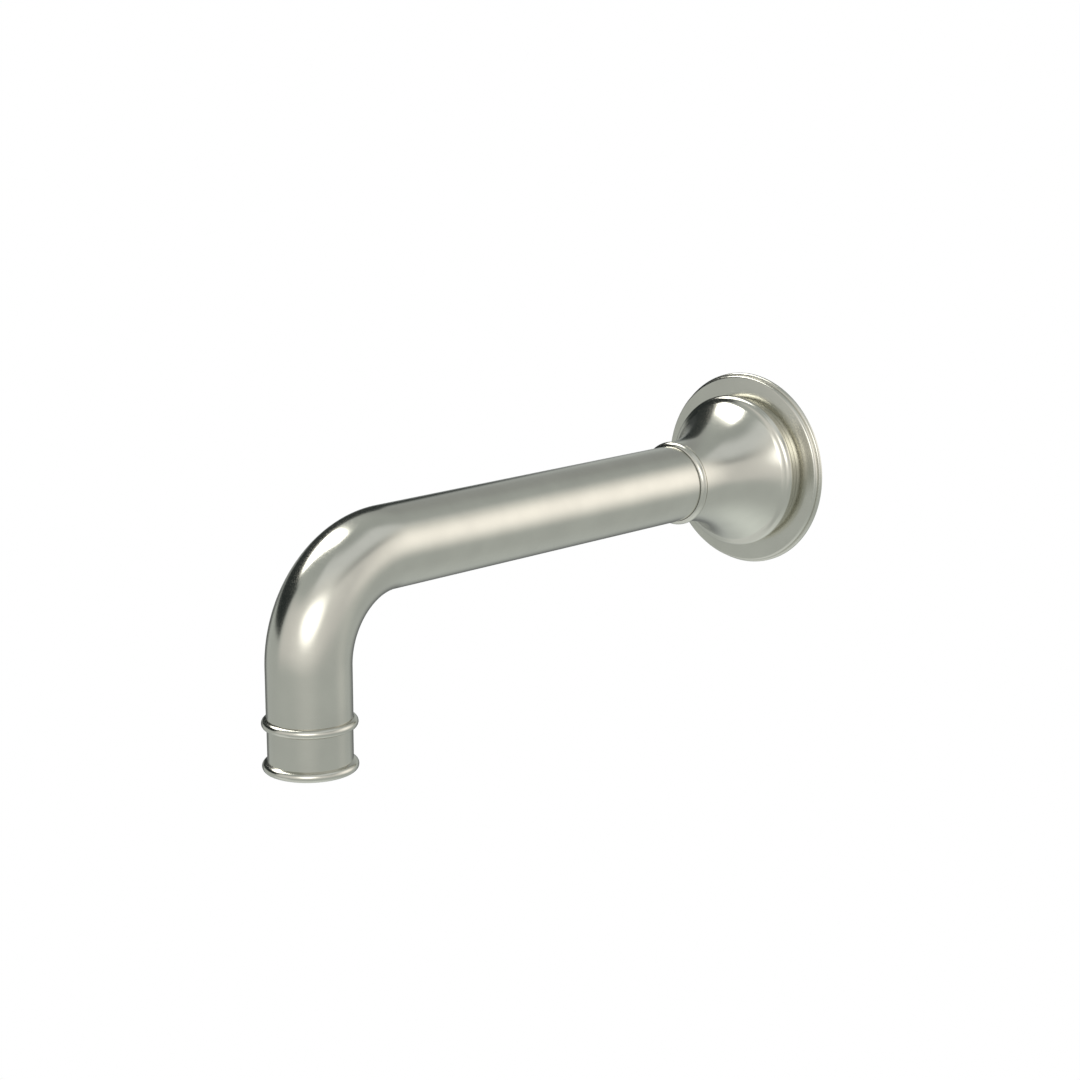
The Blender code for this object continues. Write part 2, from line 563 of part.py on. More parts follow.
def build_regulator(axis):
    """The flow regulator's disc with its ring channel, and the rubber ring that lies in it."""
    top = REGULATOR_BOTTOM + REGULATOR_THICKNESS
    floor = top - REGULATOR_CHANNEL_DEPTH
    inner = REGULATOR_CHANNEL_RADIUS - REGULATOR_CHANNEL_WIDTH / 2.0
    outer = REGULATOR_CHANNEL_RADIUS + REGULATOR_CHANNEL_WIDTH / 2.0
    outline = [(0.0, top), (inner, top), (inner, floor), (outer, floor), (outer, top)]
    outline += [(CARTRIDGE_RADIUS, top), (CARTRIDGE_RADIUS, REGULATOR_BOTTOM), (0.0, REGULATOR_BOTTOM)]
    regulator = turned("flow_regulator", outline, axis, "blue_plastic")
    drill(regulator, circle_places(REGULATOR_CHANNEL_RADIUS, REGULATOR_SLOTS), REGULATOR_SLOT_RADIUS,
          REGULATOR_BOTTOM - GAP, top + GAP, axis, 8)
    section = REGULATOR_CHANNEL_WIDTH / 2.0 - GAP
    ring_top = floor + GAP + 2.0 * section
    ring = arc((REGULATOR_CHANNEL_RADIUS, ring_top - section), section, 90.0, -270.0, RING_SECTION_STEPS)
    turned("regulator_ring", ring[:-1], axis, "black_rubber")


def build_strainer(axis):
    """The domed strainer on top of the aerator, which stands up through the washer."""
    reach = AERATOR_WASHER_HOLE - GAP
    rim_top = STRAINER_BOTTOM + STRAINER_RIM
    crown = (reach * reach + STRAINER_HEIGHT * STRAINER_HEIGHT) / (2.0 * STRAINER_HEIGHT)
    half = math.degrees(math.asin(reach / crown))
    centre = (0.0, rim_top + STRAINER_HEIGHT - crown)
    outer = arc(centre, crown, 90.0, 90.0 - half, 5)
    inner = arc(centre, crown - STRAINER_SKIN, 90.0 - half, 90.0, 5)
    outline = [(0.0, outer[0][1])] + outer[1:]
    outline += [(CARTRIDGE_RADIUS, rim_top), (CARTRIDGE_RADIUS, STRAINER_BOTTOM)]
    outline += [(inner[0][0], STRAINER_BOTTOM)] + inner[1:-1] + [(0.0, inner[-1][1])]
    strainer = turned("strainer_dome", outline, axis, "steel")
    for share, count in STRAINER_HOLE_CIRCLES:
        drill(strainer, circle_places(share * CARTRIDGE_RADIUS, count), STRAINER_HOLE_RADIUS, rim_top - STRAINER_SKIN,
              rim_top + 2.0 * STRAINER_HEIGHT, axis, 6)


def main():
    """Build every piece on the axis that it is turned about or moves along."""
    outward = (math.pi / 2.0, 0.0, 0.0)
    spout_axis = add_axis("spout_axis", (0.0, 0.0, 0.0), outward)
    cover_axis = add_axis("cover_axis", (0.0, 0.0, 0.0), outward)
    lock_axis = add_axis("lock_axis", (0.0, -LOCK_SCREW_PLACE, 0.0), (math.pi, 0.0, 0.0))
    outlet_axis = add_axis("outlet_axis", (0.0, -PROJECTION, 0.0), (0.0, 0.0, 0.0))
    aerator_axis = add_axis("aerator_axis", (0.0, -PROJECTION, 0.0), (0.0, 0.0, 0.0))
    bpy.context.view_layer.update()
    build_nipple(spout_axis)
    build_socket(spout_axis, lock_axis)
    build_lock_screw(lock_axis)
    build_tube(lock_axis)
    build_ferrule(outlet_axis)
    build_wall_plate(cover_axis)
    build_bell(cover_axis)
    plain_ring("aerator_washer", AERATOR_WASHER_HOLE, AERATOR_THREAD_RADIUS,
               WASHER_TOP - AERATOR_WASHER_THICKNESS, WASHER_TOP, aerator_axis, "black_rubber")
    build_housing(aerator_axis)
    build_cartridge(aerator_axis)
    build_regulator(aerator_axis)
    build_strainer(aerator_axis)


clear_scene()
MODEL = add_collection("bath_spout")
CUTTERS = add_collection("cutters")
MATERIALS = add_materials()
main()
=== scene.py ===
"""Looks of a wall mounted bath spout: finished surfaces, threads, seals and woven screens.

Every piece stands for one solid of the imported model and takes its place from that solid's box.
The wall is the plane y = 0, the spout points along -Y and the outlet points down.
"""

import logging
import math
from dataclasses import dataclass, field, replace
from enum import Enum

import bmesh
import bpy
from mathutils import Matrix, Vector


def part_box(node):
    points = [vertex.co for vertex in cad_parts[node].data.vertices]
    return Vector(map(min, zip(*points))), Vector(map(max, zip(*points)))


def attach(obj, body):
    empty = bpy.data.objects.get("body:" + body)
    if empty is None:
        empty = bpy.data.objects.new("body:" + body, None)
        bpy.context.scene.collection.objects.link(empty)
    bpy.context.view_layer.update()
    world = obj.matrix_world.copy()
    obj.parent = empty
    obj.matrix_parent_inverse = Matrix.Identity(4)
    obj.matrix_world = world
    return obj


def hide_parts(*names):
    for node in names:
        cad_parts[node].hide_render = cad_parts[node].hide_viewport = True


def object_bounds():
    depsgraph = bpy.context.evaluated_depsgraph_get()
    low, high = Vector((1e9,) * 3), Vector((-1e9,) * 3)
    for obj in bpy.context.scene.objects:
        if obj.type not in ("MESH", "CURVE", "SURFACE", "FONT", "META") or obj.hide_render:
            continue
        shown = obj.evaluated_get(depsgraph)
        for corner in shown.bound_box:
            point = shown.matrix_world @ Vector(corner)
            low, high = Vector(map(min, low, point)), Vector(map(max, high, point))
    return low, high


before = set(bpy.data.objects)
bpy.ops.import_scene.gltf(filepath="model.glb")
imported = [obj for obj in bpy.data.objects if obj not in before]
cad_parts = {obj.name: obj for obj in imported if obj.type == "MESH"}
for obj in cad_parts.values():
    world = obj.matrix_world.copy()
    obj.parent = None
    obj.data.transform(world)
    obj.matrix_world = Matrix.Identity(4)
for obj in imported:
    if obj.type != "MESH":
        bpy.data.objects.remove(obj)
CAD_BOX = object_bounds()

LOG = logging.getLogger("bath_spout")
MM = 0.001
ROUND = 192             # facets round an outer piece
INNER = 96              # facets round an inner piece
HAIRLINE = 0.03 * MM    # what is left between pieces that touch
MERGE = 0.0002 * MM     # points closer than this are one
BREAK = 0.1 * MM        # the least rounding of a turned corner
CAD_GAP = 0.3 * MM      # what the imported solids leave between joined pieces
OVERCUT = 1.0 * MM      # how far a cutting tool stands past what it cuts
TUBE_WALL = 1.5 * MM
CORNER_STEPS = 6        # steps in a rounded corner
THREAD_ROWS = 12        # rows of points in a turn of thread
FACETED = 1.0 / math.cos(math.pi / 6.0)  # a hexagon's corner radius over half its width
SHARP_ANGLE = math.radians(32.0)
WHITE = (1.0, 1.0, 1.0, 1.0)
LAY = "along"           # attribute: length along the surface, across the polishing lines

Piece = bpy.types.Object
Shape = bmesh.types.BMesh
Socket = bpy.types.NodeSocket
Colour = tuple[float, float, float]
Places = list[tuple[float, float]]


# ------------------------------------------------------------------ finishes

class Tree:
    """A small helper that adds and links the nodes of one material or world."""

    def __init__(self, owner: bpy.types.ID) -> None:
        """Keep the node tree of a material or world and empty it."""
        owner.use_nodes = True
        self.nodes = owner.node_tree.nodes
        self.links = owner.node_tree.links
        self.nodes.clear()

    def add(self, kind: str, values: dict | None = None, **settings: object) -> bpy.types.Node:
        """Add one node.

        Args:
            kind: the node's type name.
            values: input name or index to a number, a colour or another node's output.
            settings: properties of the node itself.

        Returns:
            The new node.
        """
        node = self.nodes.new(kind)
        for name, value in settings.items():
            setattr(node, name, value)
        for key, value in (values or {}).items():
            if isinstance(value, Socket):
                self.links.new(value, node.inputs[key])
            else:
                node.inputs[key].default_value = value
        return node

    def math(self, operation: str, *operands: object) -> Socket:
        """Add a Math node and return its output."""
        node = self.add("ShaderNodeMath", dict(enumerate(operands)), operation=operation)
        return node.outputs[0]

    def fit(self, value: object, low: float, high: float, to_low: float, to_high: float,
            smooth: bool = False) -> Socket:
        """Add a Map Range node and return its output."""
        kind = "SMOOTHSTEP" if smooth else "LINEAR"
        node = self.add("ShaderNodeMapRange", {0: value, 1: low, 2: high, 3: to_low, 4: to_high},
                        interpolation_type=kind)
        return node.outputs[0]

    def blend(self, factor: object, first: object, second: object) -> Socket:
        """Add a colour Mix node and return its output."""
        node = self.add("ShaderNodeMix", {0: factor, 6: first, 7: second}, data_type="RGBA")
        return node.outputs[2]

    def noise(self, vector: object, scale: float, detail: float = 2.0,
              rough: float = 0.5) -> Socket:
        """Add a Noise node and return its value output."""
        node = self.add("ShaderNodeTexNoise", {"Vector": vector, "Scale": scale, "Detail": detail,
                                               "Roughness": rough})
        return node.outputs[0]


def rgba(colour: Colour, gain: float = 1.0) -> tuple[float, float, float, float]:
    """Return a colour times a gain, with full alpha."""
    return (colour[0] * gain, colour[1] * gain, colour[2] * gain, 1.0)


@dataclass(frozen=True)
class Polished:
    """A polished or turned metal with fine lines round its axis, faint mottling and smears."""

    name: str
    slot: str
    colour: Colour
    shade: Colour
    roughness: float
    roughness_play: float = 0.04
    line_pitch: float = 0.28 * MM
    line_height: float = 0.0012 * MM
    streak_scale: float = 90.0
    cloud_scale: float = 70.0
    smear_scale: float = 22.0
    stain: float = 0.0

    def build(self) -> bpy.types.Material:
        """Make and return the material."""
        material = bpy.data.materials.new(self.name)
        tree = Tree(material)
        place = tree.add("ShaderNodeTexCoord").outputs["Object"]
        axes = tree.add("ShaderNodeSeparateXYZ", {0: place})
        run = tree.add("ShaderNodeAttribute", attribute_name=LAY).outputs["Fac"]
        across = tree.math("MULTIPLY", run, 1.0 / self.line_pitch)
        round_x = tree.math("MULTIPLY", axes.outputs[0], self.streak_scale)
        round_z = tree.math("MULTIPLY", axes.outputs[2], self.streak_scale)
        lines = tree.add("ShaderNodeCombineXYZ", {0: across, 1: round_x, 2: round_z}).outputs[0]
        fine = tree.noise(lines, 1.0, 3.0, 0.6)
        cloud = tree.noise(place, self.cloud_scale, 3.0, 0.55)
        smear = tree.noise(place, self.smear_scale, 2.0, 0.5)
        mottle = tree.fit(cloud, 0.35, 0.65, 0.0, 1.0)
        colour = tree.blend(mottle, rgba(self.colour), rgba(self.shade))
        if self.stain > 0.0:
            patch = tree.fit(smear, 0.48, 0.68, 0.0, self.stain, smooth=True)
            colour = tree.blend(patch, colour, rgba(self.shade, 0.45))
        play = tree.math("ADD", tree.math("MULTIPLY", fine, 0.6), tree.math("MULTIPLY", smear, 0.4))
        gloss = tree.fit(play, 0.3, 0.7, self.roughness - self.roughness_play,
                         self.roughness + self.roughness_play)
        height = tree.math("MULTIPLY", fine, self.line_height)
        bump = tree.add("ShaderNodeBump", {"Strength": 1.0, "Distance": 1.0, "Height": height})
        shader = tree.add("ShaderNodeBsdfPrincipled", {
            "Base Color": colour, "Metallic": 1.0, "Roughness": gloss, "Normal": bump.outputs[0]})
        tree.add("ShaderNodeOutputMaterial", {0: shader.outputs[0]})
        return material


@dataclass(frozen=True)
class Moulded:
    """A plastic, rubber, foam or fibre with a fine grain and a little unevenness."""

    name: str
    slot: str
    colour: Colour
    shade: Colour
    roughness: float
    grain: float = 0.4 * MM
    grain_height: float = 0.01 * MM
    cloud_scale: float = 180.0
    pores: bool = False

    def build(self) -> bpy.types.Material:
        """Make and return the material."""
        material = bpy.data.materials.new(self.name)
        tree = Tree(material)
        place = tree.add("ShaderNodeTexCoord").outputs["Object"]
        grain = tree.noise(place, 1.0 / self.grain, 3.0, 0.6)
        if self.pores:
            cells = tree.add("ShaderNodeTexVoronoi", {"Vector": place, "Scale": 1.0 / self.grain})
            grain = tree.fit(cells.outputs["Distance"], 0.1, 0.6, 0.0, 1.0)
        cloud = tree.fit(tree.noise(place, self.cloud_scale, 2.0), 0.3, 0.7, 0.0, 1.0)
        speck = tree.math("MULTIPLY", tree.math("ADD", grain, cloud), 0.5)
        colour = tree.blend(speck, rgba(self.colour), rgba(self.shade))
        gloss = tree.fit(grain, 0.2, 0.8, self.roughness - 0.08, self.roughness + 0.06)
        height = tree.math("MULTIPLY", grain, self.grain_height)
        bump = tree.add("ShaderNodeBump", {"Strength": 0.8, "Distance": 1.0, "Height": height})
        shader = tree.add("ShaderNodeBsdfPrincipled", {
            "Base Color": colour, "Metallic": 0.0, "Roughness": gloss, "Normal": bump.outputs[0]})
        tree.add("ShaderNodeOutputMaterial", {0: shader.outputs[0]})
        return material


SATIN_NICKEL = Polished("satin_nickel_plate", "satin_nickel", (0.64, 0.63, 0.565), (0.60, 0.59, 0.53), 0.18)
BRUSHED_NICKEL = replace(SATIN_NICKEL, name="brushed_nickel_plate", roughness=0.22)
TURNED_BRASS = Polished("turned_brass", "brass", (0.80, 0.60, 0.29), (0.66, 0.46, 0.20), 0.30,
                        roughness_play=0.07, line_pitch=0.20 * MM, line_height=0.002 * MM, stain=0.35)
PLAIN_STEEL = Polished("plain_steel", "steel", (0.58, 0.58, 0.59), (0.50, 0.50, 0.51), 0.30,
                       line_pitch=0.15 * MM, line_height=0.001 * MM)
BLACK_RUBBER = Moulded("black_rubber", "black_rubber", (0.030, 0.030, 0.032), (0.018, 0.018, 0.018), 0.62,
                       grain=0.25 * MM, grain_height=0.006 * MM)
GREY_FOAM = Moulded("grey_foam", "grey_foam", (0.16, 0.165, 0.17), (0.07, 0.07, 0.075), 0.88,
                    grain=0.7 * MM, grain_height=0.12 * MM, pores=True)
RED_FIBRE = Moulded("red_fibre", "red_fibre", (0.44, 0.10, 0.055), (0.28, 0.06, 0.035), 0.80,
                    grain=0.5 * MM, grain_height=0.03 * MM)
WHITE_PLASTIC = Moulded("white_plastic", "white_plastic", (0.80, 0.80, 0.77), (0.72, 0.72, 0.69), 0.40)
BLUE_PLASTIC = Moulded("blue_plastic", "blue_plastic", (0.10, 0.21, 0.44), (0.08, 0.17, 0.36), 0.42)


class Workshop:
    """Hands out each finish's material, made once."""

    def __init__(self) -> None:
        """Start with no materials."""
        self.made: dict[str, bpy.types.Material] = {}

    def dress(self, piece: Piece, finish: Polished | Moulded) -> None:
        """Give a piece its only material.

        Args:
            piece: the piece to dress.
            finish: the finish that it gets.
        """
        if finish.name not in self.made:
            self.made[finish.name] = finish.build()
        piece.data.materials.clear()
        piece.data.materials.append(self.made[finish.name])


WORKSHOP = Workshop()


# ------------------------------------------------------------------ shapes

class Seat(Enum):
    """The axes that pieces are turned about; a seat's own Z is the height of an outline."""

    WALL = "wall"
    OUTLET = "outlet"
    LOCK = "lock"

    def matrix(self) -> Matrix:
        """Return the turn and shift from the seat to the row frame."""
        if self is Seat.WALL:
            return Matrix.Rotation(math.pi / 2.0, 4, "X")
        if self is Seat.OUTLET:
            return Matrix.Translation((0.0, middle("outlet_ferrule").y, 0.0))
        return Matrix.Translation((0.0, middle("lock_screw").y, 0.0)) @ Matrix.Rotation(math.pi, 4, "X")

    def span(self, node: str) -> tuple[float, float]:
        """Return a CAD node's lowest and highest place along the seat's axis."""
        low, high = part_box(node)
        if self is Seat.WALL:
            return -high.y, -low.y
        if self is Seat.OUTLET:
            return low.z, high.z
        return -high.z, -low.z


def middle(node: str) -> Vector:
    """Return the centre of a CAD node's box."""
    low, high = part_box(node)
    return (low + high) / 2.0


def reach(node: str) -> float:
    """Return a turned CAD node's outer radius."""
    low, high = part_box(node)
    return (high.x - low.x) / 2.0


@dataclass
class Outline:
    """An outline in radius and height that is turned into a ring, or a disc where it starts on the axis."""

    corners: list[tuple[Vector, float]] = field(default_factory=list)

    def to(self, radius: float, height: float, rounding: float = 0.0) -> "Outline":
        """Add a corner, with a rounding where it has one, and return the outline."""
        self.corners.append((Vector((radius, height)), rounding))
        return self

    def sweep(self, centre: tuple[float, float], radius: float, start: float, end: float,
              count: int = 16) -> "Outline":
        """Add an arc.

        Args:
            centre: its centre, as radius and height.
            radius: its own radius.
            start: angle that it starts at in degrees; 0 points away from the axis.
            end: angle that it ends at.
            count: how many steps it has.

        Returns:
            The outline.
        """
        for i in range(count + 1):
            angle = math.radians(start + (end - start) * i / count)
            self.to(centre[0] + radius * math.cos(angle), centre[1] + radius * math.sin(angle))
        return self

    def bow(self, start: Vector, end: Vector, sag: float, count: int = 40) -> "Outline":
        """Add an arc from start to end.

        Args:
            start: its first point.
            end: its last point.
            sag: how far it bows to the left of its way; below 0 it bows to the right.
            count: how many steps it has.

        Returns:
            The outline.
        """
        chord = end - start
        side = Vector((-chord.y, chord.x)).normalized()
        radius = chord.length_squared / (8.0 * sag) + sag / 2.0
        centre = (start + end) / 2.0 + side * (sag - radius)
        half = math.asin(chord.length / (2.0 * radius))
        for i in range(count + 1):
            angle = half * (2.0 * i / count - 1.0)
            way = chord.normalized() * math.sin(angle) + side * math.cos(angle)
            self.to(*(centre + way * radius))
        return self

    def rows(self, radius: float, start: float, end: float, spacing: float) -> "Outline":
        """Add close rows of points along a straight stretch, for a thread to be cut in."""
        count = max(2, round(abs(end - start) / spacing))
        for i in range(count + 1):
            self.to(radius, start + (end - start) * i / count)
        return self

    def points(self) -> list[Vector]:
        """Return the outline's points with its corners rounded."""
        places = []
        count = len(self.corners)
        for i, (corner, rounding) in enumerate(self.corners):
            if rounding <= 0.0:
                places.append(corner)
                continue
            before = (self.corners[i - 1][0] - corner).normalized()
            after = (self.corners[(i + 1) % count][0] - corner).normalized()
            half = before.angle(after) / 2.0
            centre = corner + (before + after).normalized() * (rounding / math.sin(half))
            first = corner + before * (rounding / math.tan(half)) - centre
            last = corner + after * (rounding / math.tan(half)) - centre
            for step in range(CORNER_STEPS + 1):
                places.append(centre + first.slerp(last, step / CORNER_STEPS).normalized() * rounding)
        return places


def ring(inner: float, outer: float, bottom: float, top: float, rounding: float) -> Outline:
    """Return the outline of a flat ring with rounded edges."""
    outline = Outline().to(inner, top, rounding).to(outer, top, rounding)
    return outline.to(outer, bottom, rounding).to(inner, bottom, rounding)


def finished(name: str, shape: Shape, place: Matrix) -> Piece:
    """Turn a bmesh into an object whose place is in its mesh.

    Args:
        name: the piece's name.
        shape: the bmesh; it is freed.
        place: the matrix from the shape's own frame to the row frame.

    Returns:
        The new object.
    """
    bmesh.ops.remove_doubles(shape, verts=shape.verts, dist=MERGE)
    bmesh.ops.recalc_face_normals(shape, faces=shape.faces)
    bmesh.ops.transform(shape, matrix=place, verts=shape.verts)
    mesh = bpy.data.meshes.new(name)
    shape.to_mesh(mesh)
    shape.free()
    smooth(mesh)
    piece = bpy.data.objects.new(name, mesh)
    bpy.context.scene.collection.objects.link(piece)
    return piece


def smooth(mesh: bpy.types.Mesh) -> None:
    """Shade a mesh smooth with its sharp edges kept."""
    mesh.shade_smooth()
    mesh.set_sharp_from_angle(angle=SHARP_ANGLE)


@dataclass(frozen=True)
class Thread:
    """A screw thread cut into close rows of a turned piece."""

    low: float
    high: float
    radius: float
    pitch: float
    depth: float
    inside: bool = False
    crest: float = 0.14      # share of a turn's half that stays at full height
    flank: float = 0.72      # share that slopes
    run_in: float = 0.6      # turns over which the thread fades out

    def cut(self, shape: Shape) -> None:
        """Move the rows of points in or out along the thread's helix.

        Args:
            shape: the turned piece, still on its own axis.
        """
        for point in shape.verts:
            radius = math.hypot(point.co.x, point.co.y)
            height = point.co.z
            if abs(radius - self.radius) > 0.01 * MM or not self.low < height < self.high:
                continue
            turn = math.atan2(point.co.y, point.co.x) / (2.0 * math.pi)
            phase = (height / self.pitch - turn) % 1.0
            flank = min(1.0, max(0.0, (abs(2.0 * phase - 1.0) - self.crest) / self.flank))
            edge = min(height - self.low, self.high - height) / (self.run_in * self.pitch)
            depth = self.depth * flank * min(1.0, edge)
            scale = (radius + depth if self.inside else radius - depth) / radius
            point.co.x *= scale
            point.co.y *= scale


def turn(name: str, outline: Outline, seat: Seat, facets: int = INNER,
         threads: tuple[Thread, ...] = ()) -> Piece:
    """Spin an outline about a seat's axis.

    Args:
        name: the piece's name.
        outline: its section.
        seat: the axis that it is turned about.
        facets: how many steps the spin has.
        threads: threads to cut in it.

    Returns:
        The turned piece.
    """
    shape = bmesh.new()
    lay = shape.verts.layers.float.new(LAY)
    places = outline.points()
    corners = []
    run = 0.0
    for i, place in enumerate(places):
        if i:
            run += (place - places[i - 1]).length
        corner = shape.verts.new((place.x, 0.0, place.y))
        corner[lay] = run
        corners.append(corner)
    pairs = list(zip(corners, corners[1:]))
    if places[0].x > 0.0:
        pairs.append((corners[-1], corners[0]))
    edges = [shape.edges.new(pair) for pair in pairs]
    bmesh.ops.spin(shape, geom=corners + edges, cent=(0.0, 0.0, 0.0), axis=(0.0, 0.0, 1.0),
                   angle=2.0 * math.pi, steps=facets, use_merge=True)
    bmesh.ops.remove_doubles(shape, verts=shape.verts, dist=MERGE)
    for thread in threads:
        thread.cut(shape)
    return finished(name, shape, seat.matrix())


def prisms(places: Places, radius: float, low: float, high: float, sides: int,
           seat: Seat) -> Piece:
    """Make upright prisms as one cutting tool.

    Args:
        places: where each one stands, as x and y in the seat's frame.
        radius: of their corners.
        low: bottom of them all.
        high: top of them all.
        sides: how many sides each has.
        seat: the seat that they stand in.

    Returns:
        The tool.
    """
    shape = bmesh.new()
    for x, y in places:
        place = Matrix.Translation((x, y, (low + high) / 2.0))
        bmesh.ops.create_cone(shape, cap_ends=True, segments=sides, radius1=radius, radius2=radius,
                              depth=high - low, matrix=place)
    return finished("tool", shape, seat.matrix())


def carve(piece: Piece, tool: Piece, operation: str = "DIFFERENCE") -> Piece:
    """Cut a tool out of a piece, or join it on, and remove the tool.

    Args:
        piece: the piece to change.
        tool: a closed shape in the row frame.
        operation: DIFFERENCE, UNION or INTERSECT.

    Returns:
        The piece.
    """
    step = piece.modifiers.new("carve", "BOOLEAN")
    step.operation = operation
    step.solver = "EXACT"
    step.object = tool
    seen = piece.evaluated_get(bpy.context.evaluated_depsgraph_get())
    mesh = bpy.data.meshes.new_from_object(seen)
    piece.modifiers.clear()
    old = piece.data
    piece.data = mesh
    mesh.name = piece.name
    bpy.data.meshes.remove(old)
    bpy.data.objects.remove(tool, do_unlink=True)
    smooth(mesh)
    return piece


def circle(radius: float, count: int, start: float = 0.0) -> Places:
    """Return evenly spaced places on a circle."""
    angles = [start + 2.0 * math.pi * i / count for i in range(count)]
    return [(radius * math.cos(a), radius * math.sin(a)) for a in angles]


def flat_ring(name: str, node: str, seat: Seat, inner: float, rounding: float,
              facets: int = INNER) -> Piece:
    """Turn a flat ring with rounded edges in the place of a CAD node, with its own inner radius."""
    return turn(name, ring(inner, reach(node), *seat.span(node), rounding), seat, facets)


def cord_ring(name: str, seat: Seat, radius: float, height: float, section: float,
              end: float = -260.0) -> Piece:
    """Turn a ring of round section.

    Args:
        name: the piece's name.
        seat: the axis that it is turned about.
        radius: from the axis to the middle of the section.
        height: of its middle.
        section: radius of the section.
        end: angle in degrees where the section's round, which starts at 90, ends.

    Returns:
        The ring.
    """
    return turn(name, Outline().sweep((radius, height), section, 90.0, end, 20), seat)


def honeycomb(pitch: float, limit: float) -> Places:
    """Return the places of a hexagonal pattern within a limit from the centre."""
    rows = int(limit / pitch) + 2
    places = []
    for row in range(-rows, rows + 1):
        for column in range(-2 * rows, 2 * rows + 1):
            x = pitch * (column + (row % 2) / 2.0)
            y = pitch * row * math.sqrt(3.0) / 2.0
            if math.hypot(x, y) <= limit:
                places.append((x, y))
    return places


def place(piece: Piece, body: str, node: str, finish: Polished | Moulded) -> Piece:
    """Dress a piece, put it on its body in place of a CAD node, and log it.

    Args:
        piece: the finished piece.
        body: the CAD body that it rides on.
        node: the CAD node that it stands for.
        finish: its finish.

    Returns:
        The piece.
    """
    WORKSHOP.dress(piece, finish)
    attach(piece, body)
    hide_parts(node)
    LOG.info("%s: %d faces, rides on %s", piece.name, len(piece.data.polygons), body)
    return piece


# ------------------------------------------------------------------ sub-assemblies

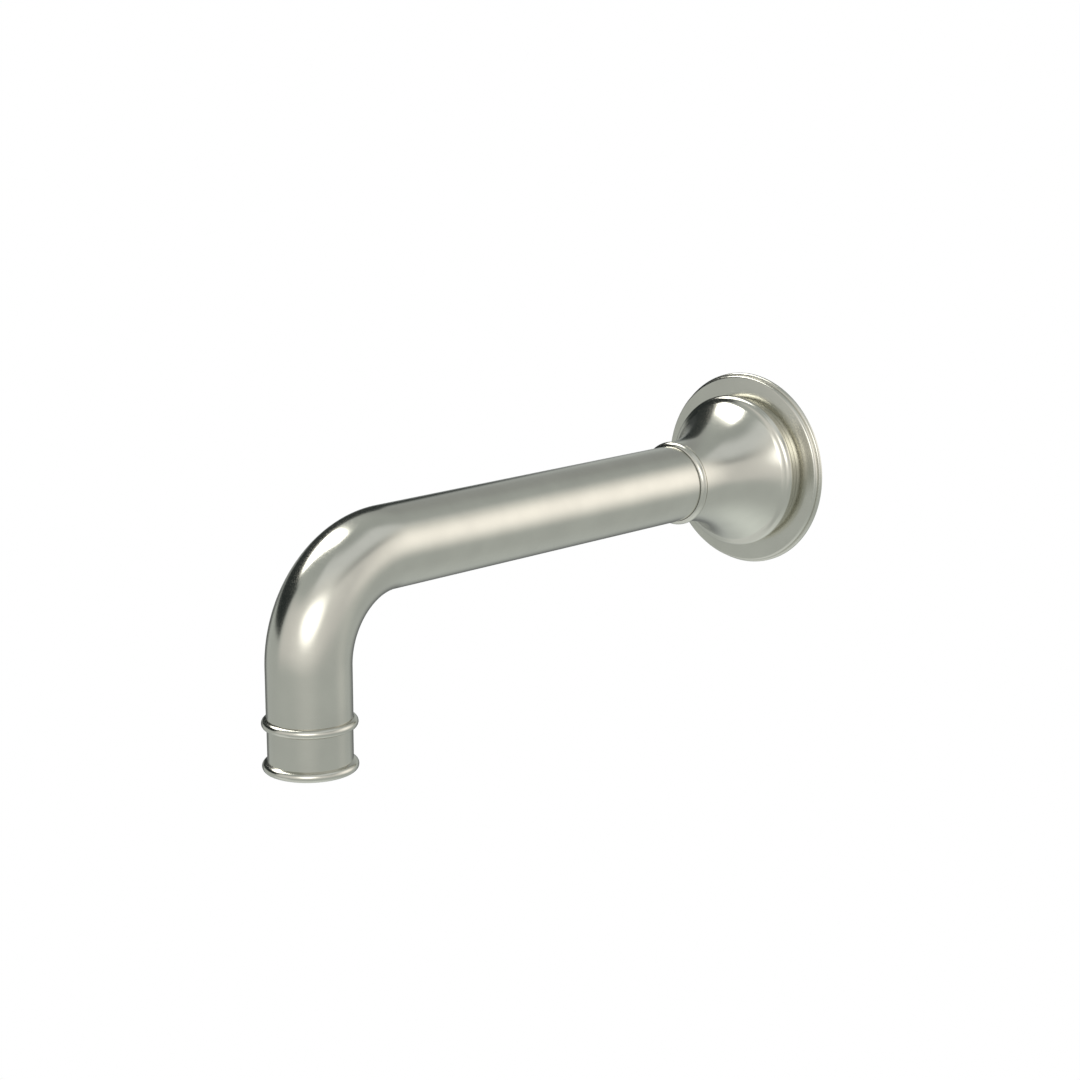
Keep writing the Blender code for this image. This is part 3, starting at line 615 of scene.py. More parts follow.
@dataclass
class WallCover:
    """The plate, its gasket, the bell and the grip ring, which slide forward together."""

    body: str = "wall_cover"
    rim_thickness: float = 1.2 * MM
    rim_step: float = 0.8 * MM
    rim_slope: float = 0.05 * MM
    edge_round: float = 0.7 * MM
    edge_land: float = 2.0 * MM
    hole_clearance: float = 0.5 * MM
    pocket_hole: float = 16.0 * MM
    pocket_clearance: float = 0.15 * MM
    gasket_round: float = 0.25 * MM
    foot_radius: float = 24.4 * MM
    foot_height: float = 2.4 * MM
    shoulder_round: float = 2.0 * MM
    shoulder_arc: tuple[float, float] = (72.0, -78.0)
    flare_step: float = 1.0 * MM
    flare_sag: float = 2.4 * MM
    wall: float = 1.2 * MM
    bead_round: float = 1.6 * MM
    bead_height: float = 1.3 * MM
    bead_end: float = -54.0
    land_length: float = 17.5 * MM
    groove_depth: float = 1.4 * MM
    groove_width: float = 2.0 * MM
    tube_clearance: float = 0.12 * MM

    def build(self) -> None:
        """Build and dress the four pieces."""
        place(self.plate(), self.body, "wall_plate", BRUSHED_NICKEL)
        place(self.gasket(), self.body, "wall_gasket", GREY_FOAM)
        place(self.bell(), self.body, "bell_cover", SATIN_NICKEL)
        place(self.grip_ring(), self.body, "cover_grip_ring", BLACK_RUBBER)

    def plate(self) -> Piece:
        """Return the stepped plate with its gasket pocket."""
        back, face = Seat.WALL.span("wall_plate")
        pocket = Seat.WALL.span("wall_gasket")[1] + HAIRLINE
        rim = reach("wall_plate")
        drum = rim - self.rim_step
        land = rim - self.edge_land
        hole = reach("spout_tube") + self.hole_clearance
        step = back + self.rim_thickness
        outline = Outline().to(hole, face, 2.0 * BREAK).to(drum, face, self.edge_round)
        outline.to(drum, step + self.rim_slope, HAIRLINE).to(rim, step, self.edge_round).to(rim, back, BREAK)
        outline.to(land, back, BREAK).to(land, pocket, BREAK)
        outline.to(self.pocket_hole, pocket, BREAK).to(self.pocket_hole, back, BREAK).to(hole, back, BREAK)
        return turn("stepped_wall_plate", outline, Seat.WALL, ROUND)

    def gasket(self) -> Piece:
        """Return the foam ring in the plate's back."""
        inner = self.pocket_hole + self.pocket_clearance
        return flat_ring("foam_gasket", "wall_gasket", Seat.WALL, inner, self.gasket_round, ROUND)

    def bell(self) -> Piece:
        """Return the bell with its neck bead, shoulder and ring groove."""
        face = Seat.WALL.span("wall_plate")[1]
        front = Seat.WALL.span("bell_cover")[1]
        tube = reach("spout_tube")
        bore = tube + self.tube_clearance
        bead = (tube + self.bead_height - self.bead_round, front - self.bead_round)
        lip = math.degrees(math.acos((bore - bead[0]) / self.bead_round))
        neck_angle = math.radians(self.bead_end)
        neck = Vector((bead[0] + self.bead_round * math.cos(neck_angle),
                       bead[1] + self.bead_round * math.sin(neck_angle)))
        rise, fall = (math.radians(angle) for angle in self.shoulder_arc)
        shoulder = (reach("bell_cover") - self.shoulder_round,
                    face + self.foot_height - self.shoulder_round * math.sin(fall))
        foot = Vector((shoulder[0] + self.shoulder_round * math.cos(rise) - self.flare_step,
                       shoulder[1] + self.shoulder_round * math.sin(rise) + self.flare_step / 2.0))
        skirt = foot - Vector((self.wall, self.wall))
        inside = self.foot_radius - self.wall
        land = front - self.land_length
        seat = bore + self.groove_depth
        ring_low, ring_high = self.groove()
        outline = Outline().to(bore, ring_high).sweep(bead, self.bead_round, lip, self.bead_end, 20)
        outline.bow(neck, foot, -self.flare_sag, 60)
        outline.sweep(shoulder, self.shoulder_round, *self.shoulder_arc, 28)
        outline.to(self.foot_radius, face + HAIRLINE, BREAK).to(inside, face + HAIRLINE, BREAK)
        outline.to(inside, skirt.y - self.wall)
        outline.bow(skirt, Vector((seat, land - self.wall)), self.flare_sag / 2.0, 24)
        outline.to(bore, land, BREAK).to(bore, ring_low, BREAK / 2.0).to(seat, ring_low).to(seat, ring_high)
        return turn("flared_bell", outline, Seat.WALL, ROUND)

    def groove(self) -> tuple[float, float]:
        """Return the two ends of the grip ring's groove along the tube."""
        centre = sum(Seat.WALL.span("cover_grip_ring")) / 2.0
        return centre - self.groove_width / 2.0, centre + self.groove_width / 2.0

    def grip_ring(self) -> Piece:
        """Return the rubber ring that grips the tube."""
        inner = reach("spout_tube") + HAIRLINE
        section = (self.groove_depth + self.tube_clearance) / 2.0 - HAIRLINE
        return cord_ring("rubber_grip_ring", Seat.WALL, inner + section, sum(self.groove()) / 2.0, section)


@dataclass
class WallConnection:
    """The nipple in the wall with its seals, and the socket and lock screw of the tube."""

    body: str = "spout"
    water_bore: float = 5.0 * MM
    bore_round: float = 0.3 * MM
    spigot_radius: float = 8.5 * MM
    spigot_chamfer: float = 0.8 * MM
    ring_groove: float = 1.9 * MM
    ring_width: float = 2.4 * MM
    lock_groove: float = 0.9 * MM
    lock_width: float = 6.0 * MM
    collar_length: float = 5.5 * MM
    collar_slope: float = 0.6
    across_flats: float = 22.0 * MM
    pipe_radius: float = 10.4775 * MM
    pipe_pitch: float = 1.814 * MM
    pipe_depth: float = 1.16 * MM
    pipe_rows: int = 14
    pipe_relief: float = 0.6 * MM
    pipe_end: float = 1.0 * MM
    washer_squeeze: float = 0.25 * MM
    washer_round: float = 0.12 * MM
    throat: float = 7.2 * MM
    socket_wall: float = 0.3 * MM
    flange: float = 1.5 * MM
    key_across_flats: float = 2.5 * MM
    key_depth: float = 2.2 * MM
    screw_pitch: float = 0.8 * MM
    screw_depth: float = 0.4 * MM
    screw_chamfer: float = 0.35 * MM

    def build(self) -> None:
        """Build and dress the six pieces."""
        place(self.nipple(), self.body, "wall_nipple", TURNED_BRASS)
        place(self.washer(), self.body, "fibre_washer", RED_FIBRE)
        for side in ("rear", "front"):
            place(self.seal(side), self.body, "spigot_o_ring_" + side, BLACK_RUBBER)
        place(self.socket(), self.body, "inlet_socket", TURNED_BRASS)
        place(self.lock_screw(), "lock_screw", "lock_screw", PLAIN_STEEL)

    def nipple(self) -> Piece:
        """Return the threaded nipple with its hexagon and its grooved spigot."""
        back, front = Seat.WALL.span("wall_nipple")
        collar = Seat.WALL.span("fibre_washer")[1] + CAD_GAP
        spigot, thread = self.spigot_radius, self.pipe_radius
        root = thread - self.pipe_depth
        outline = Outline().to(self.water_bore, front, self.bore_round)
        outline.to(spigot - self.spigot_chamfer, front, BREAK).to(spigot, front - self.spigot_chamfer, BREAK)
        for side in ("front", "rear"):
            centre = sum(Seat.WALL.span("spigot_o_ring_" + side)) / 2.0
            self.groove(outline, centre, self.ring_groove, self.ring_width)
        self.groove(outline, -middle("lock_screw").y, self.lock_groove, self.lock_width)
        inside_collar = collar + self.collar_length / 2.0
        outline.to(spigot, inside_collar).to(root, inside_collar).to(root, collar - self.pipe_relief)
        outline.to(thread, collar - 2.0 * self.pipe_relief)
        low = back + self.pipe_end
        high = collar - 2.0 * self.pipe_relief - 2.0 * BREAK
        outline.rows(thread, high, low, self.pipe_pitch / self.pipe_rows)
        outline.to(thread - self.pipe_end, back, BREAK).to(self.water_bore, back, self.bore_round)
        pipe = Thread(low, high, thread, self.pipe_pitch, self.pipe_depth)
        nipple = turn("threaded_nipple", outline, Seat.WALL, INNER, (pipe,))
        return carve(nipple, self.hexagon(collar), "UNION")

    def groove(self, outline: Outline, centre: float, depth: float, width: float) -> None:
        """Add a square groove to the spigot's side."""
        radius = self.spigot_radius
        floor = radius - depth
        upper, lower = centre + width / 2.0, centre - width / 2.0
        outline.to(radius, upper, BREAK).to(floor, upper, BREAK)
        outline.to(floor, lower, BREAK).to(radius, lower, BREAK)

    def hexagon(self, low: float) -> Piece:
        """Return the spanner collar, a hexagon with turned-off corners."""
        flat = self.across_flats / 2.0
        corner = flat * FACETED
        core = self.spigot_radius - 1.0 * MM
        high = low + self.collar_length
        slope = (corner - flat) * self.collar_slope
        outline = Outline().to(core, high).to(flat, high).to(corner, high - slope)
        outline.to(corner, low + slope).to(flat, low).to(core, low)
        shape = prisms([(0.0, 0.0)], corner, low - OVERCUT, high + OVERCUT, 6, Seat.WALL)
        return carve(turn("collar", outline, Seat.WALL), shape, "INTERSECT")

    def washer(self) -> Piece:
        """Return the fibre washer, pressed against the hexagon."""
        back, front = Seat.WALL.span("fibre_washer")
        outline = ring(self.pipe_radius + BREAK, reach("fibre_washer"), back, front + self.washer_squeeze,
                       self.washer_round)
        return turn("pressed_fibre_washer", outline, Seat.WALL)

    def seal(self, side: str) -> Piece:
        """Return one of the spigot's O-rings."""
        centre = sum(Seat.WALL.span("spigot_o_ring_" + side)) / 2.0
        section = (self.ring_groove + self.socket_wall) / 2.0 - HAIRLINE
        radius = self.spigot_radius - self.ring_groove + HAIRLINE + section
        return cord_ring("o_ring_" + side, Seat.WALL, radius, centre, section)

    def socket(self) -> Piece:
        """Return the turned socket with the lock screw's threaded hole."""
        low, high = Seat.WALL.span("inlet_socket")
        stop = Seat.WALL.span("wall_nipple")[1] + CAD_GAP
        tube = reach("inlet_socket")
        sleeve = tube - TUBE_WALL - HAIRLINE
        bore = self.spigot_radius + self.socket_wall
        outline = Outline().to(self.throat, high, BREAK).to(sleeve, high, self.bore_round)
        outline.to(sleeve, low + self.flange).to(tube, low + self.flange, 1.5 * BREAK)
        outline.to(tube, low, self.bore_round).to(bore, low, self.bore_round)
        outline.to(bore, stop, BREAK).to(self.throat, stop, BREAK)
        return carve(turn("brazed_socket", outline, Seat.WALL), lock_hole())

    def lock_screw(self) -> Piece:
        """Return the grub screw with its thread and hexagon socket."""
        tip, top = Seat.LOCK.span("lock_screw")
        radius = reach("lock_screw")
        low, high = tip + 2.0 * self.screw_chamfer, top - self.screw_chamfer
        outline = Outline().to(0.0, top).to(radius - self.screw_chamfer, top)
        outline.rows(radius, high, low, self.screw_pitch / THREAD_ROWS)
        outline.to(radius - 2.0 * self.screw_chamfer, tip).to(0.0, tip)
        thread = Thread(low, high, radius, self.screw_pitch, self.screw_depth)
        screw = turn("grub_screw", outline, Seat.LOCK, 64, (thread,))
        key = self.key_across_flats / 2.0 * FACETED
        socket = prisms([(0.0, 0.0)], key, top - self.key_depth, top + self.key_depth, 6, Seat.LOCK)
        return carve(screw, socket)


def lock_hole() -> Piece:
    """Return the tool that cuts the lock screw's hole through the underside of tube and socket."""
    clearance, inner, outer = 0.12 * MM, 6.0 * MM, 20.0 * MM
    return prisms([(0.0, 0.0)], reach("lock_screw") + clearance, inner, outer, 48, Seat.LOCK)


@dataclass
class SpoutTube:
    """The bent tube."""

    body: str = "spout"
    bend_radius: float = 30.4 * MM
    bend_steps: int = 96
    step_length: float = 4.0 * MM

    def build(self) -> None:
        """Build and dress the tube."""
        place(self.tube(), self.body, "spout_tube", SATIN_NICKEL)

    def tube(self) -> Piece:
        """Return the tube: a circle drawn along the run, spun round the bend, drawn down and given a wall."""
        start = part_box("spout_tube")[1].y
        bend_y = middle("outlet_ferrule").y + self.bend_radius
        shape = bmesh.new()
        lay = shape.verts.layers.float.new(LAY)
        facing = Matrix.Translation((0.0, start, 0.0)) @ Matrix.Rotation(math.pi / 2.0, 4, "X")
        bmesh.ops.create_circle(shape, radius=reach("spout_tube"), segments=ROUND, matrix=facing)
        edges = self.draw(shape, list(shape.edges), Vector((0.0, bend_y - start, 0.0)), lay, 0.0)
        run = start - bend_y
        ends = {vert for edge in edges for vert in edge.verts}
        bent = bmesh.ops.spin(shape, geom=edges + list(ends), cent=(0.0, bend_y, -self.bend_radius),
                              axis=(1.0, 0.0, 0.0), angle=math.pi / 2.0, steps=self.bend_steps)
        for vert in shape.verts:
            if vert.co.y < bend_y - 5.0 * MERGE:
                angle = math.atan2(bend_y - vert.co.y, vert.co.z + self.bend_radius)
                vert[lay] = run + angle * self.bend_radius
        run += self.bend_radius * math.pi / 2.0
        edges = [part for part in bent["geom_last"] if isinstance(part, bmesh.types.BMEdge)]
        self.draw(shape, edges, Vector((0.0, 0.0, ferrule_seam() + HAIRLINE + self.bend_radius)), lay, run)
        bmesh.ops.remove_doubles(shape, verts=shape.verts, dist=MERGE)
        bmesh.ops.recalc_face_normals(shape, faces=shape.faces)
        bmesh.ops.solidify(shape, geom=list(shape.faces), thickness=TUBE_WALL)
        return carve(finished("bent_tube", shape, Matrix.Identity(4)), lock_hole())

    def draw(self, shape: Shape, edges: list[bmesh.types.BMEdge], way: Vector,
             lay: object, run: float) -> list[bmesh.types.BMEdge]:
        """Draw edges out along a straight way in even steps.

        Args:
            shape: the tube so far.
            edges: the open edges to draw out.
            way: how far and where to.
            lay: the layer that keeps the length along the tube.
            run: that length at the start.

        Returns:
            The new open edges.
        """
        steps = max(2, round(way.length / self.step_length))
        for step in range(1, steps + 1):
            verts, edges = extrude(shape, edges)
            bmesh.ops.translate(shape, verts=verts, vec=way / steps)
            for vert in verts:
                vert[lay] = run + way.length * step / steps
        return edges


def ferrule_seam() -> float:
    """Return the height of the seam between tube and ferrule."""
    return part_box("spout_tube")[0].z - BREAK


@dataclass
class OutletEnd:
    """The turned ferrule with its two beads and the aerator's thread."""

    body: str = "spout"
    bead_round: float = 1.45 * MM
    bead_end: float = 72.0
    fillet: float = 0.14 * MM
    side_inset: float = 0.1 * MM
    rim_lift: float = 0.42 * MM
    thread_pitch: float = 1.0 * MM
    thread_depth: float = 0.5 * MM
    water_radius: float = 9.2 * MM
    mouth: float = 0.4 * MM

    def build(self) -> None:
        """Build and dress the ferrule."""
        place(self.ferrule(), self.body, "outlet_ferrule", SATIN_NICKEL)

    def ferrule(self) -> Piece:
        """Return the ferrule."""
        bottom, top = Seat.OUTLET.span("outlet_ferrule")
        bottom += self.rim_lift
        tube = reach("spout_tube")
        sleeve = tube - TUBE_WALL - HAIRLINE
        seam = ferrule_seam()
        bore = reach("aerator_housing") + CAD_GAP
        shoulder = Seat.OUTLET.span("aerator_washer")[1] + CAD_GAP
        upper = (tube, seam - self.bead_round)
        lower = (tube, bottom + self.bead_round)
        side = tube - self.side_inset
        corner = self.bead_round + self.fillet
        outline = Outline()
        outline.to(self.water_radius, top, BREAK).to(sleeve, top, 3.0 * BREAK).to(sleeve, seam)
        outline.sweep(upper, self.bead_round, 90.0, -self.bead_end, 28)
        outline.to(side, upper[1] - corner).to(side, lower[1] + corner)
        outline.sweep(lower, self.bead_round, self.bead_end, -90.0, 28)
        outline.to(bore + self.mouth, bottom, BREAK).to(bore, bottom + self.mouth)
        outline.rows(bore, bottom + self.mouth + BREAK, shoulder - self.thread_depth,
                     self.thread_pitch / THREAD_ROWS)
        outline.to(bore, shoulder).to(self.water_radius, shoulder, BREAK)
        thread = Thread(bottom + self.mouth, shoulder - self.thread_depth + BREAK, bore, self.thread_pitch,
                        self.thread_depth, inside=True)
        return turn("beaded_ferrule", outline, Seat.OUTLET, ROUND, (thread,))


@dataclass
class Aerator:
    """The aerator: washer, housing and the cartridge inside it."""

    body: str = "aerator"
    washer_hole: float = 7.6 * MM
    washer_round: float = 0.25 * MM
    housing_wall: float = 1.4 * MM
    foot_round: float = 0.25 * MM
    lip_height: float = 0.8 * MM
    lip_radius: float = 8.5 * MM
    thread_start: float = 1.6 * MM
    thread_pitch: float = 1.0 * MM
    thread_depth: float = 0.5 * MM
    notch: tuple[float, float] = (2.4 * MM, 0.9 * MM)
    notches: int = 4
    cage_wall: float = 0.8 * MM
    moulded_round: float = 0.15 * MM
    cell: float = 0.82 * MM
    cell_pitch: float = 1.62 * MM
    cell_margin: float = 1.312 * MM
    screen_rim: float = 0.7 * MM
    screen_round: float = 0.08 * MM
    wire: float = 0.13 * MM
    wire_pitch: float = 0.85 * MM
    jets: int = 24
    jet_radius: float = 0.4 * MM
    jet_rows: tuple[float, float] = (2.35 * MM, 4.2 * MM)
    channel: tuple[float, float] = (4.5 * MM, 2.2 * MM)
    channel_depth: float = 1.1 * MM
    slots: int = 16
    slot_radius: float = 0.45 * MM
    dome_radius: float = 7.3 * MM
    dome_skin: float = 0.5 * MM
    dome_hole: float = 0.36 * MM
    dome_pitch: float = 1.35 * MM
    dome_rows: int = 4
    dome_twist: float = 0.3
    dome_draft: float = 3.0

    def build(self) -> None:
        """Build and dress the ten pieces."""
        place(self.washer(), "aerator_seal", "aerator_washer", BLACK_RUBBER)
        place(self.housing(), self.body, "aerator_housing", SATIN_NICKEL)
        place(self.cage(), self.body, "insert_cage", WHITE_PLASTIC)
        place(self.straightener(), self.body, "stream_straightener", WHITE_PLASTIC)
        for side in ("lower", "upper"):
            place(self.screen(side), self.body, "mesh_screen_" + side, PLAIN_STEEL)
        place(self.jet_plate(), self.body, "jet_plate", WHITE_PLASTIC)
        place(self.regulator(), self.body, "flow_regulator", BLUE_PLASTIC)
        place(self.regulator_ring(), self.body, "regulator_ring", BLACK_RUBBER)
        place(self.strainer(), self.body, "strainer_dome", PLAIN_STEEL)

    def washer(self) -> Piece:
        """Return the rubber washer."""
        return flat_ring("rubber_aerator_washer", "aerator_washer", Seat.OUTLET, self.washer_hole,
                         self.washer_round)

    def housing(self) -> Piece:
        """Return the threaded housing with its key notches."""
        low, high = Seat.OUTLET.span("aerator_housing")
        radius = reach("aerator_housing")
        bore = radius - self.housing_wall
        lip_top = low + self.lip_height
        thread_low, thread_high = low + self.thread_start, high - self.thread_depth
        outline = Outline().to(bore, high, BREAK).to(radius - self.thread_depth, high, BREAK)
        outline.rows(radius, thread_high, thread_low, self.thread_pitch / THREAD_ROWS)
        outline.to(radius, low, self.foot_round).to(self.lip_radius, low, self.foot_round)
        outline.to(self.lip_radius, lip_top, BREAK).to(bore, lip_top)
        thread = Thread(thread_low, thread_high + BREAK / 2.0, radius, self.thread_pitch, self.thread_depth)
        housing = turn("aerator_ring", outline, Seat.OUTLET, ROUND, (thread,))
        width, depth = self.notch
        shape = bmesh.new()
        for i in range(self.notches):
            spin = Matrix.Rotation(2.0 * math.pi * (i + 0.5) / self.notches, 4, "Z")
            shift = Matrix.Translation((radius, 0.0, low))
            size = Matrix.Diagonal((2.0 * self.housing_wall, width, 2.0 * depth, 1.0))
            bmesh.ops.create_cube(shape, size=1.0, matrix=spin @ shift @ size)
        return carve(housing, finished("tool", shape, Seat.OUTLET.matrix()))

    def cage(self) -> Piece:
        """Return the cartridge's outer sleeve."""
        inner = reach("insert_cage") - self.cage_wall
        return flat_ring("cartridge_cage", "insert_cage", Seat.OUTLET, inner, self.moulded_round)

    def disc(self, node: str, name: str) -> Piece:
        """Return a plain disc with rounded edges in the place of a CAD node."""
        low, high = Seat.OUTLET.span(node)
        radius = reach(node)
        outline = Outline().to(0.0, high).to(radius, high, self.moulded_round)
        return turn(name, outline.to(radius, low, self.moulded_round).to(0.0, low), Seat.OUTLET)

    def drill(self, piece: Piece, node: str, places: Places, radius: float,
              sides: int) -> Piece:
        """Return a piece with upright holes through the height of its CAD node."""
        low, high = Seat.OUTLET.span(node)
        return carve(piece, prisms(places, radius, low - OVERCUT, high + OVERCUT, sides, Seat.OUTLET))

    def straightener(self) -> Piece:
        """Return the honeycomb grid that shows in the outlet."""
        node = "stream_straightener"
        cells = honeycomb(self.cell_pitch, reach(node) - self.cell_margin)
        return self.drill(self.disc(node, "honeycomb_grid"), node, cells, self.cell, 6)

    def screen(self, side: str) -> Piece:
        """Return a woven screen in its thin rim."""
        node = "mesh_screen_" + side
        inner = reach(node) - self.screen_rim
        screen = flat_ring("woven_screen_" + side, node, Seat.OUTLET, inner, self.screen_round)
        level = sum(Seat.OUTLET.span(node)) / 2.0
        limit = inner + 2.0 * BREAK
        count = int(limit / self.wire_pitch)
        for way in (0.0, math.pi / 2.0):
            for i in range(-count, count + 1):
                join(screen, self.wire_across(i, limit, level, way))
        smooth(screen.data)
        return screen

    def wire_across(self, index: int, limit: float, level: float, way: float) -> Piece:
        """Make one wire that goes over and under the wires across it.

        Args:
            index: the wire's place in its row, from the middle.
            limit: how far from the middle the wires end.
            level: height of the screen's middle.
            way: turn of the whole row.

        Returns:
            The wire.
        """
        offset = index * self.wire_pitch
        half = math.sqrt(limit * limit - offset * offset)
        start = Matrix.Translation((-half, offset, level)) @ Matrix.Rotation(math.pi / 2.0, 4, "Y")
        shape = bmesh.new()
        bmesh.ops.create_circle(shape, radius=self.wire / 2.0, segments=6, matrix=start)
        first = list(shape.edges)
        edges = first
        lift = 0.0
        phase = math.pi * (index % 2) + (math.pi if way else 0.0)
        steps = max(2, round(8.0 * half / self.wire_pitch))
        for i in range(1, steps + 1):
            along = -half + 2.0 * half * i / steps
            wave = 0.5 * self.wire * math.sin(math.pi * along / self.wire_pitch + math.pi / 2.0 + phase)
            verts, edges = extrude(shape, edges)
            bmesh.ops.translate(shape, verts=verts, vec=(2.0 * half / steps, 0.0, wave - lift))
            lift = wave
        for loop in (first, edges):
            bmesh.ops.edgeloop_fill(shape, edges=loop)
        return finished("wire", shape, Seat.OUTLET.matrix() @ Matrix.Rotation(way, 4, "Z"))

    def jet_plate(self) -> Piece:
        """Return the plate that splits the stream."""
        node = "jet_plate"
        plate = self.disc(node, "jet_disc")
        for row, inset in enumerate(self.jet_rows, 1):
            places = circle(reach(node) - inset, self.jets // row)
            plate = self.drill(plate, node, places, self.jet_radius, 16)
        return plate

    def regulator(self) -> Piece:
        """Return the regulator disc with its ring channel and water slots."""
        node = "flow_regulator"
        low, high = Seat.OUTLET.span(node)
        edge = reach(node)
        inner, outer = (edge - inset for inset in self.channel)
        floor = high - self.channel_depth
        brim = self.moulded_round
        outline = Outline().to(0.0, high).to(inner, high, brim).to(inner, floor).to(outer, floor)
        outline.to(outer, high, brim).to(edge, high, brim).to(edge, low, brim).to(0.0, low)
        disc = turn("regulator_disc", outline, Seat.OUTLET)
        return self.drill(disc, node, circle((inner + outer) / 2.0, self.slots), self.slot_radius, 12)

    def regulator_ring(self) -> Piece:
        """Return the rubber ring in the regulator's channel."""
        low, high = Seat.OUTLET.span("regulator_ring")
        section = (high - low) / 2.0
        radius = reach("regulator_ring") - section
        return cord_ring("flow_ring", Seat.OUTLET, radius, (low + high) / 2.0, section, -255.0)

    def strainer(self) -> Piece:
        """Return the domed strainer with its rings of holes."""
        node = "strainer_dome"
        low, high = Seat.OUTLET.span(node)
        skin, rim = self.dome_skin, low + self.dome_skin
        rise = high - rim
        crown = (self.dome_radius ** 2 + rise ** 2) / (2.0 * rise)
        half = math.degrees(math.asin(self.dome_radius / crown))
        centre = (0.0, high - crown)
        outline = Outline().sweep(centre, crown, 90.0, 90.0 - half, 24)
        outline.to(reach(node), rim, BREAK).to(reach(node), low, BREAK).to(self.dome_radius - skin, low)
        outline.sweep(centre, crown - skin, 90.0 - half + self.dome_draft, 90.0, 24)
        dome = turn("strainer_cap", outline, Seat.OUTLET)
        places = [(0.0, 0.0)]
        for row in range(1, self.dome_rows + 1):
            places += circle(row * self.dome_pitch, 6 * row, row * self.dome_twist)
        return self.drill(dome, node, places, self.dome_hole, 10)


def join(piece: Piece, extra: Piece) -> None:
    """Add another object's mesh to a piece and remove that object.

    Args:
        piece: the piece that grows.
        extra: the object that is used up.
    """
    shape = bmesh.new()
    shape.from_mesh(piece.data)
    shape.from_mesh(extra.data)
    shape.to_mesh(piece.data)
    shape.free()
    bpy.data.objects.remove(extra, do_unlink=True)


def extrude(shape: Shape, edges: list[bmesh.types.BMEdge]
            ) -> tuple[list[bmesh.types.BMVert], list[bmesh.types.BMEdge]]:
    """Draw open edges out where they are.

    Args:
        shape: the bmesh that they are in.
        edges: the edges of one loop.

    Returns:
        The new points, and the new edges between them.
    """
    grown = bmesh.ops.extrude_edge_only(shape, edges=edges)["geom"]
    verts = [part for part in grown if isinstance(part, bmesh.types.BMVert)]
    fresh = set(verts)
    ends = [part for part in grown if isinstance(part, bmesh.types.BMEdge)
            and all(vert in fresh for vert in part.verts)]
    return verts, ends


# ------------------------------------------------------------------ studio

class PanelShape(Enum):
    """Whether a panel is a box or an oval; a box's edge is in degrees, an oval's is a share of its size."""

    BOX = "box"
    OVAL = "oval"


BOX, OVAL = PanelShape


@dataclass(frozen=True)
class Panel:
    """A soft-edged light or dark panel of the studio, seen from the spout.

    The bearing is 0 straight out of the wall and grows towards +X; both angles are in degrees.
    """

    shape: PanelShape
    bearing: float
    height: float
    half_width: float
    half_height: float
    edge: float
    colour: Colour
    strength: float

    def cover(self, tree: Tree, bearing: object, height: object) -> Socket:
        """Add the nodes that say how much of the panel is seen in each direction.

        Args:
            tree: the world's nodes.
            bearing: the output with the direction's bearing in radians.
            height: the output with its height above the horizon in radians.

        Returns:
            The output, from 0 outside the panel to 1 in it.
        """
        aside = tree.math("SUBTRACT", bearing, math.radians(self.bearing))
        aside = tree.math("WRAP", aside, math.pi, -math.pi)
        above = tree.math("SUBTRACT", height, math.radians(self.height))
        if self.shape is PanelShape.OVAL:
            aside = tree.math("DIVIDE", aside, math.radians(self.half_width))
            above = tree.math("DIVIDE", above, math.radians(self.half_height))
            distance = tree.math("SQRT", tree.math("ADD", tree.math("MULTIPLY", aside, aside),
                                                   tree.math("MULTIPLY", above, above)))
            return tree.fit(distance, 1.0 - self.edge, 1.0 + self.edge, 1.0, 0.0, smooth=True)
        parts = []
        for value, half in ((aside, self.half_width), (above, self.half_height)):
            inner, outer = math.radians(half - self.edge / 2.0), math.radians(half + self.edge / 2.0)
            parts.append(tree.fit(tree.math("ABSOLUTE", value), inner, outer, 1.0, 0.0, smooth=True))
        return tree.math("MULTIPLY", *parts)


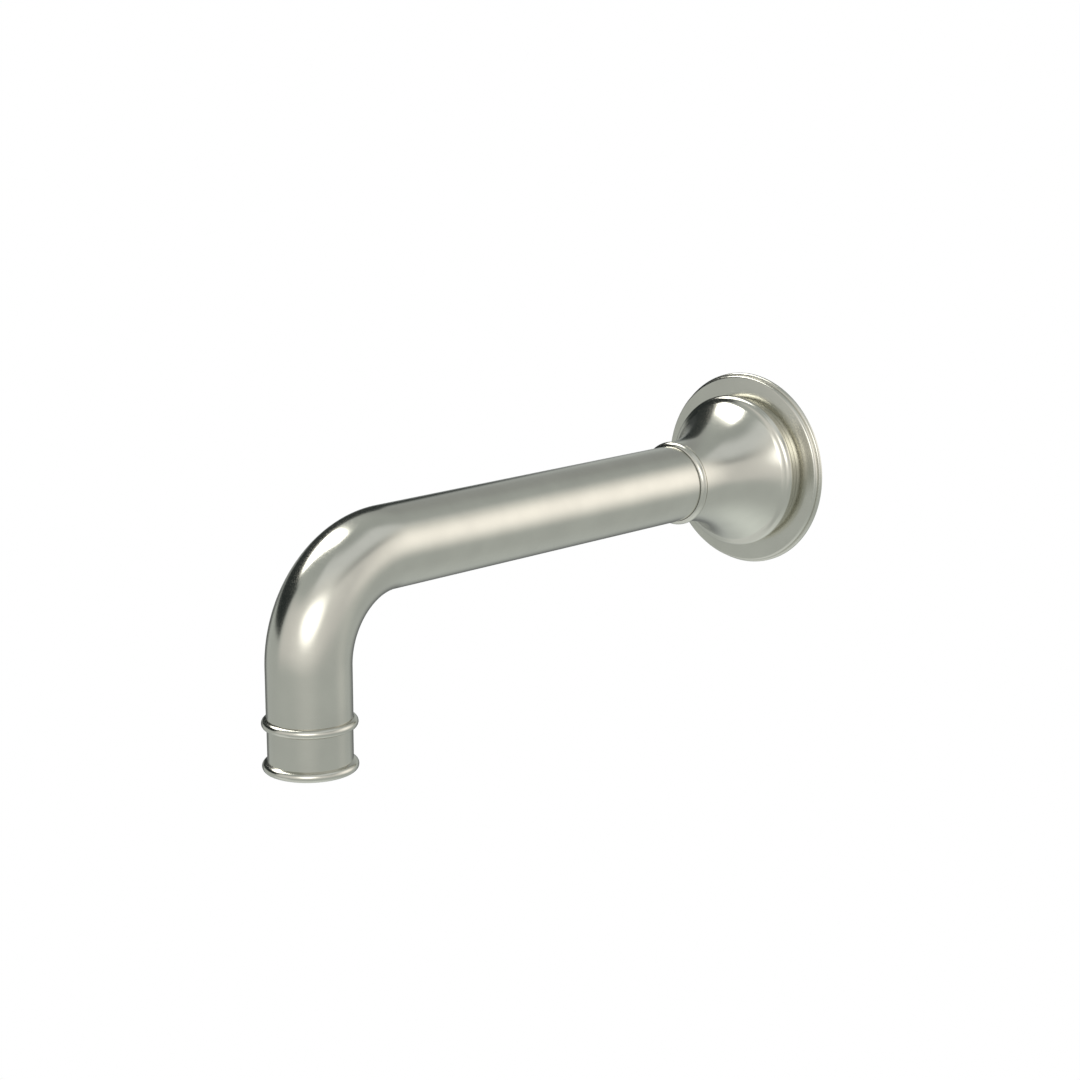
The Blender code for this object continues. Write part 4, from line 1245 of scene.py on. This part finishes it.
@dataclass
class Studio:
    """The floor, the camera and the soft light."""

    eye: Vector = field(default_factory=lambda: Vector((0.496859, -0.622238, 0.155070)))
    turned: float = 43.749
    raised: float = 12.849
    lens: float = 77.62
    sensor: float = 36.0
    far: float = 200.0
    floor_drop: float = 0.45
    floor_size: float = 60.0
    nadir_from: float = -35.0
    horizon: Colour = (0.53, 0.56, 0.545)
    zenith: Colour = (0.43, 0.46, 0.45)
    nadir: Colour = (0.88, 0.93, 0.91)
    panels: tuple[Panel, ...] = (
        Panel(BOX, 45.0, 13.0, 80.0, 20.0, 18.0, (1.01, 1.0, 0.98), 0.77),
        Panel(BOX, 85.0, 57.0, 68.0, 15.0, 18.0, (0.97, 1.0, 1.01), 0.79),
        Panel(BOX, 102.0, 35.0, 32.0, 4.0, 7.0, (0.98, 1.0, 0.98), 0.46),
        Panel(BOX, -35.0, -40.0, 24.0, 12.0, 14.0, (0.97, 1.0, 0.99), 0.84),
        Panel(BOX, -25.0, -66.0, 60.0, 15.0, 18.0, (0.97, 1.0, 0.99), 0.82),
        Panel(OVAL, -138.0, -18.0, 30.0, 20.0, 0.60, (0.95, 1.0, 0.98), 0.18),
        Panel(OVAL, -104.0, -10.0, 10.0, 14.0, 0.60, (0.95, 1.0, 0.98), 0.15),
        Panel(OVAL, 41.0, 19.0, 38.0, 26.0, 0.75, (1.0, 0.985, 0.96), 1.05),
        Panel(OVAL, 41.0, 20.0, 22.0, 13.0, 0.55, (1.0, 0.985, 0.95), 2.8),
        Panel(OVAL, 143.0, 14.0, 22.0, 20.0, 0.85, (1.04, 1.0, 0.96), 1.45),
        Panel(OVAL, -153.0, 36.0, 26.0, 15.0, 0.60, (0.96, 1.0, 0.985), 0.40),
        Panel(BOX, -83.5, 58.5, 22.0, 20.0, 7.0, (1.0, 0.985, 0.94), 6.0),
        Panel(BOX, -88.0, 21.25, 48.0, 16.25, 4.0, (0.8, 1.0, 1.0), 0.030),
        Panel(OVAL, -122.0, 4.5, 8.0, 7.0, 0.50, (0.9, 1.0, 1.0), 0.06),
    )

    def build(self) -> None:
        """Build the floor, the camera and the light."""
        self.floor()
        self.camera()
        self.light()
        bpy.context.scene.view_settings.view_transform = "Standard"

    def floor(self) -> None:
        """Lay a plain pale floor well below the spout."""
        shape = bmesh.new()
        bmesh.ops.create_grid(shape, x_segments=1, y_segments=1, size=self.floor_size / 2.0)
        floor = finished("floor", shape, Matrix.Translation((0.0, 0.0, CAD_BOX[0][2] - self.floor_drop)))
        material = bpy.data.materials.new("pale_floor")
        tree = Tree(material)
        shader = tree.add("ShaderNodeEmission", {0: WHITE, 1: 1.0})
        tree.add("ShaderNodeOutputMaterial", {0: shader.outputs[0]})
        floor.data.materials.append(material)
        floor.visible_glossy = False
        floor.visible_diffuse = False

    def camera(self) -> None:
        """Place the camera."""
        lens = bpy.data.cameras.new("camera")
        lens.lens = self.lens
        lens.sensor_width = self.sensor
        lens.clip_end = self.far
        camera = bpy.data.objects.new("camera", lens)
        camera.location = self.eye
        camera.rotation_euler = (math.radians(90.0 - self.raised), 0.0, math.radians(self.turned))
        bpy.context.scene.collection.objects.link(camera)
        bpy.context.scene.camera = camera

    def light(self) -> None:
        """Light the spout from a grey room with soft panels, before a white backdrop."""
        world = bpy.data.worlds.new("studio")
        bpy.context.scene.world = world
        tree = Tree(world)
        way = tree.add("ShaderNodeTexCoord").outputs["Generated"]
        axes = tree.add("ShaderNodeSeparateXYZ", {0: way}).outputs
        bearing = tree.math("ARCTAN2", axes[0], tree.math("MULTIPLY", axes[1], -1.0))
        height = tree.math("ARCSINE", axes[2])
        up = tree.fit(height, 0.0, math.pi / 2.0, 0.0, 1.0)
        down = tree.fit(height, -math.pi / 2.0, math.radians(self.nadir_from), 1.0, 0.0, smooth=True)
        room = tree.blend(up, rgba(self.horizon), rgba(self.zenith))
        room = tree.blend(down, room, rgba(self.nadir))
        for panel in self.panels:
            room = tree.blend(panel.cover(tree, bearing, height), room, rgba(panel.colour, panel.strength))
        seen = tree.add("ShaderNodeLightPath").outputs["Is Camera Ray"]
        shown = tree.blend(seen, room, WHITE)
        glow = tree.add("ShaderNodeBackground", {0: shown, 1: 1.0})
        tree.add("ShaderNodeOutputWorld", {0: glow.outputs[0]})


def main() -> None:
    """Build the spout and its studio."""
    logging.basicConfig(level=logging.INFO, format="%(name)s: %(message)s")
    for part in (WallCover(), WallConnection(), SpoutTube(), OutletEnd(), Aerator(), Studio()):
        part.build()


if __name__ == "__main__":
    main()
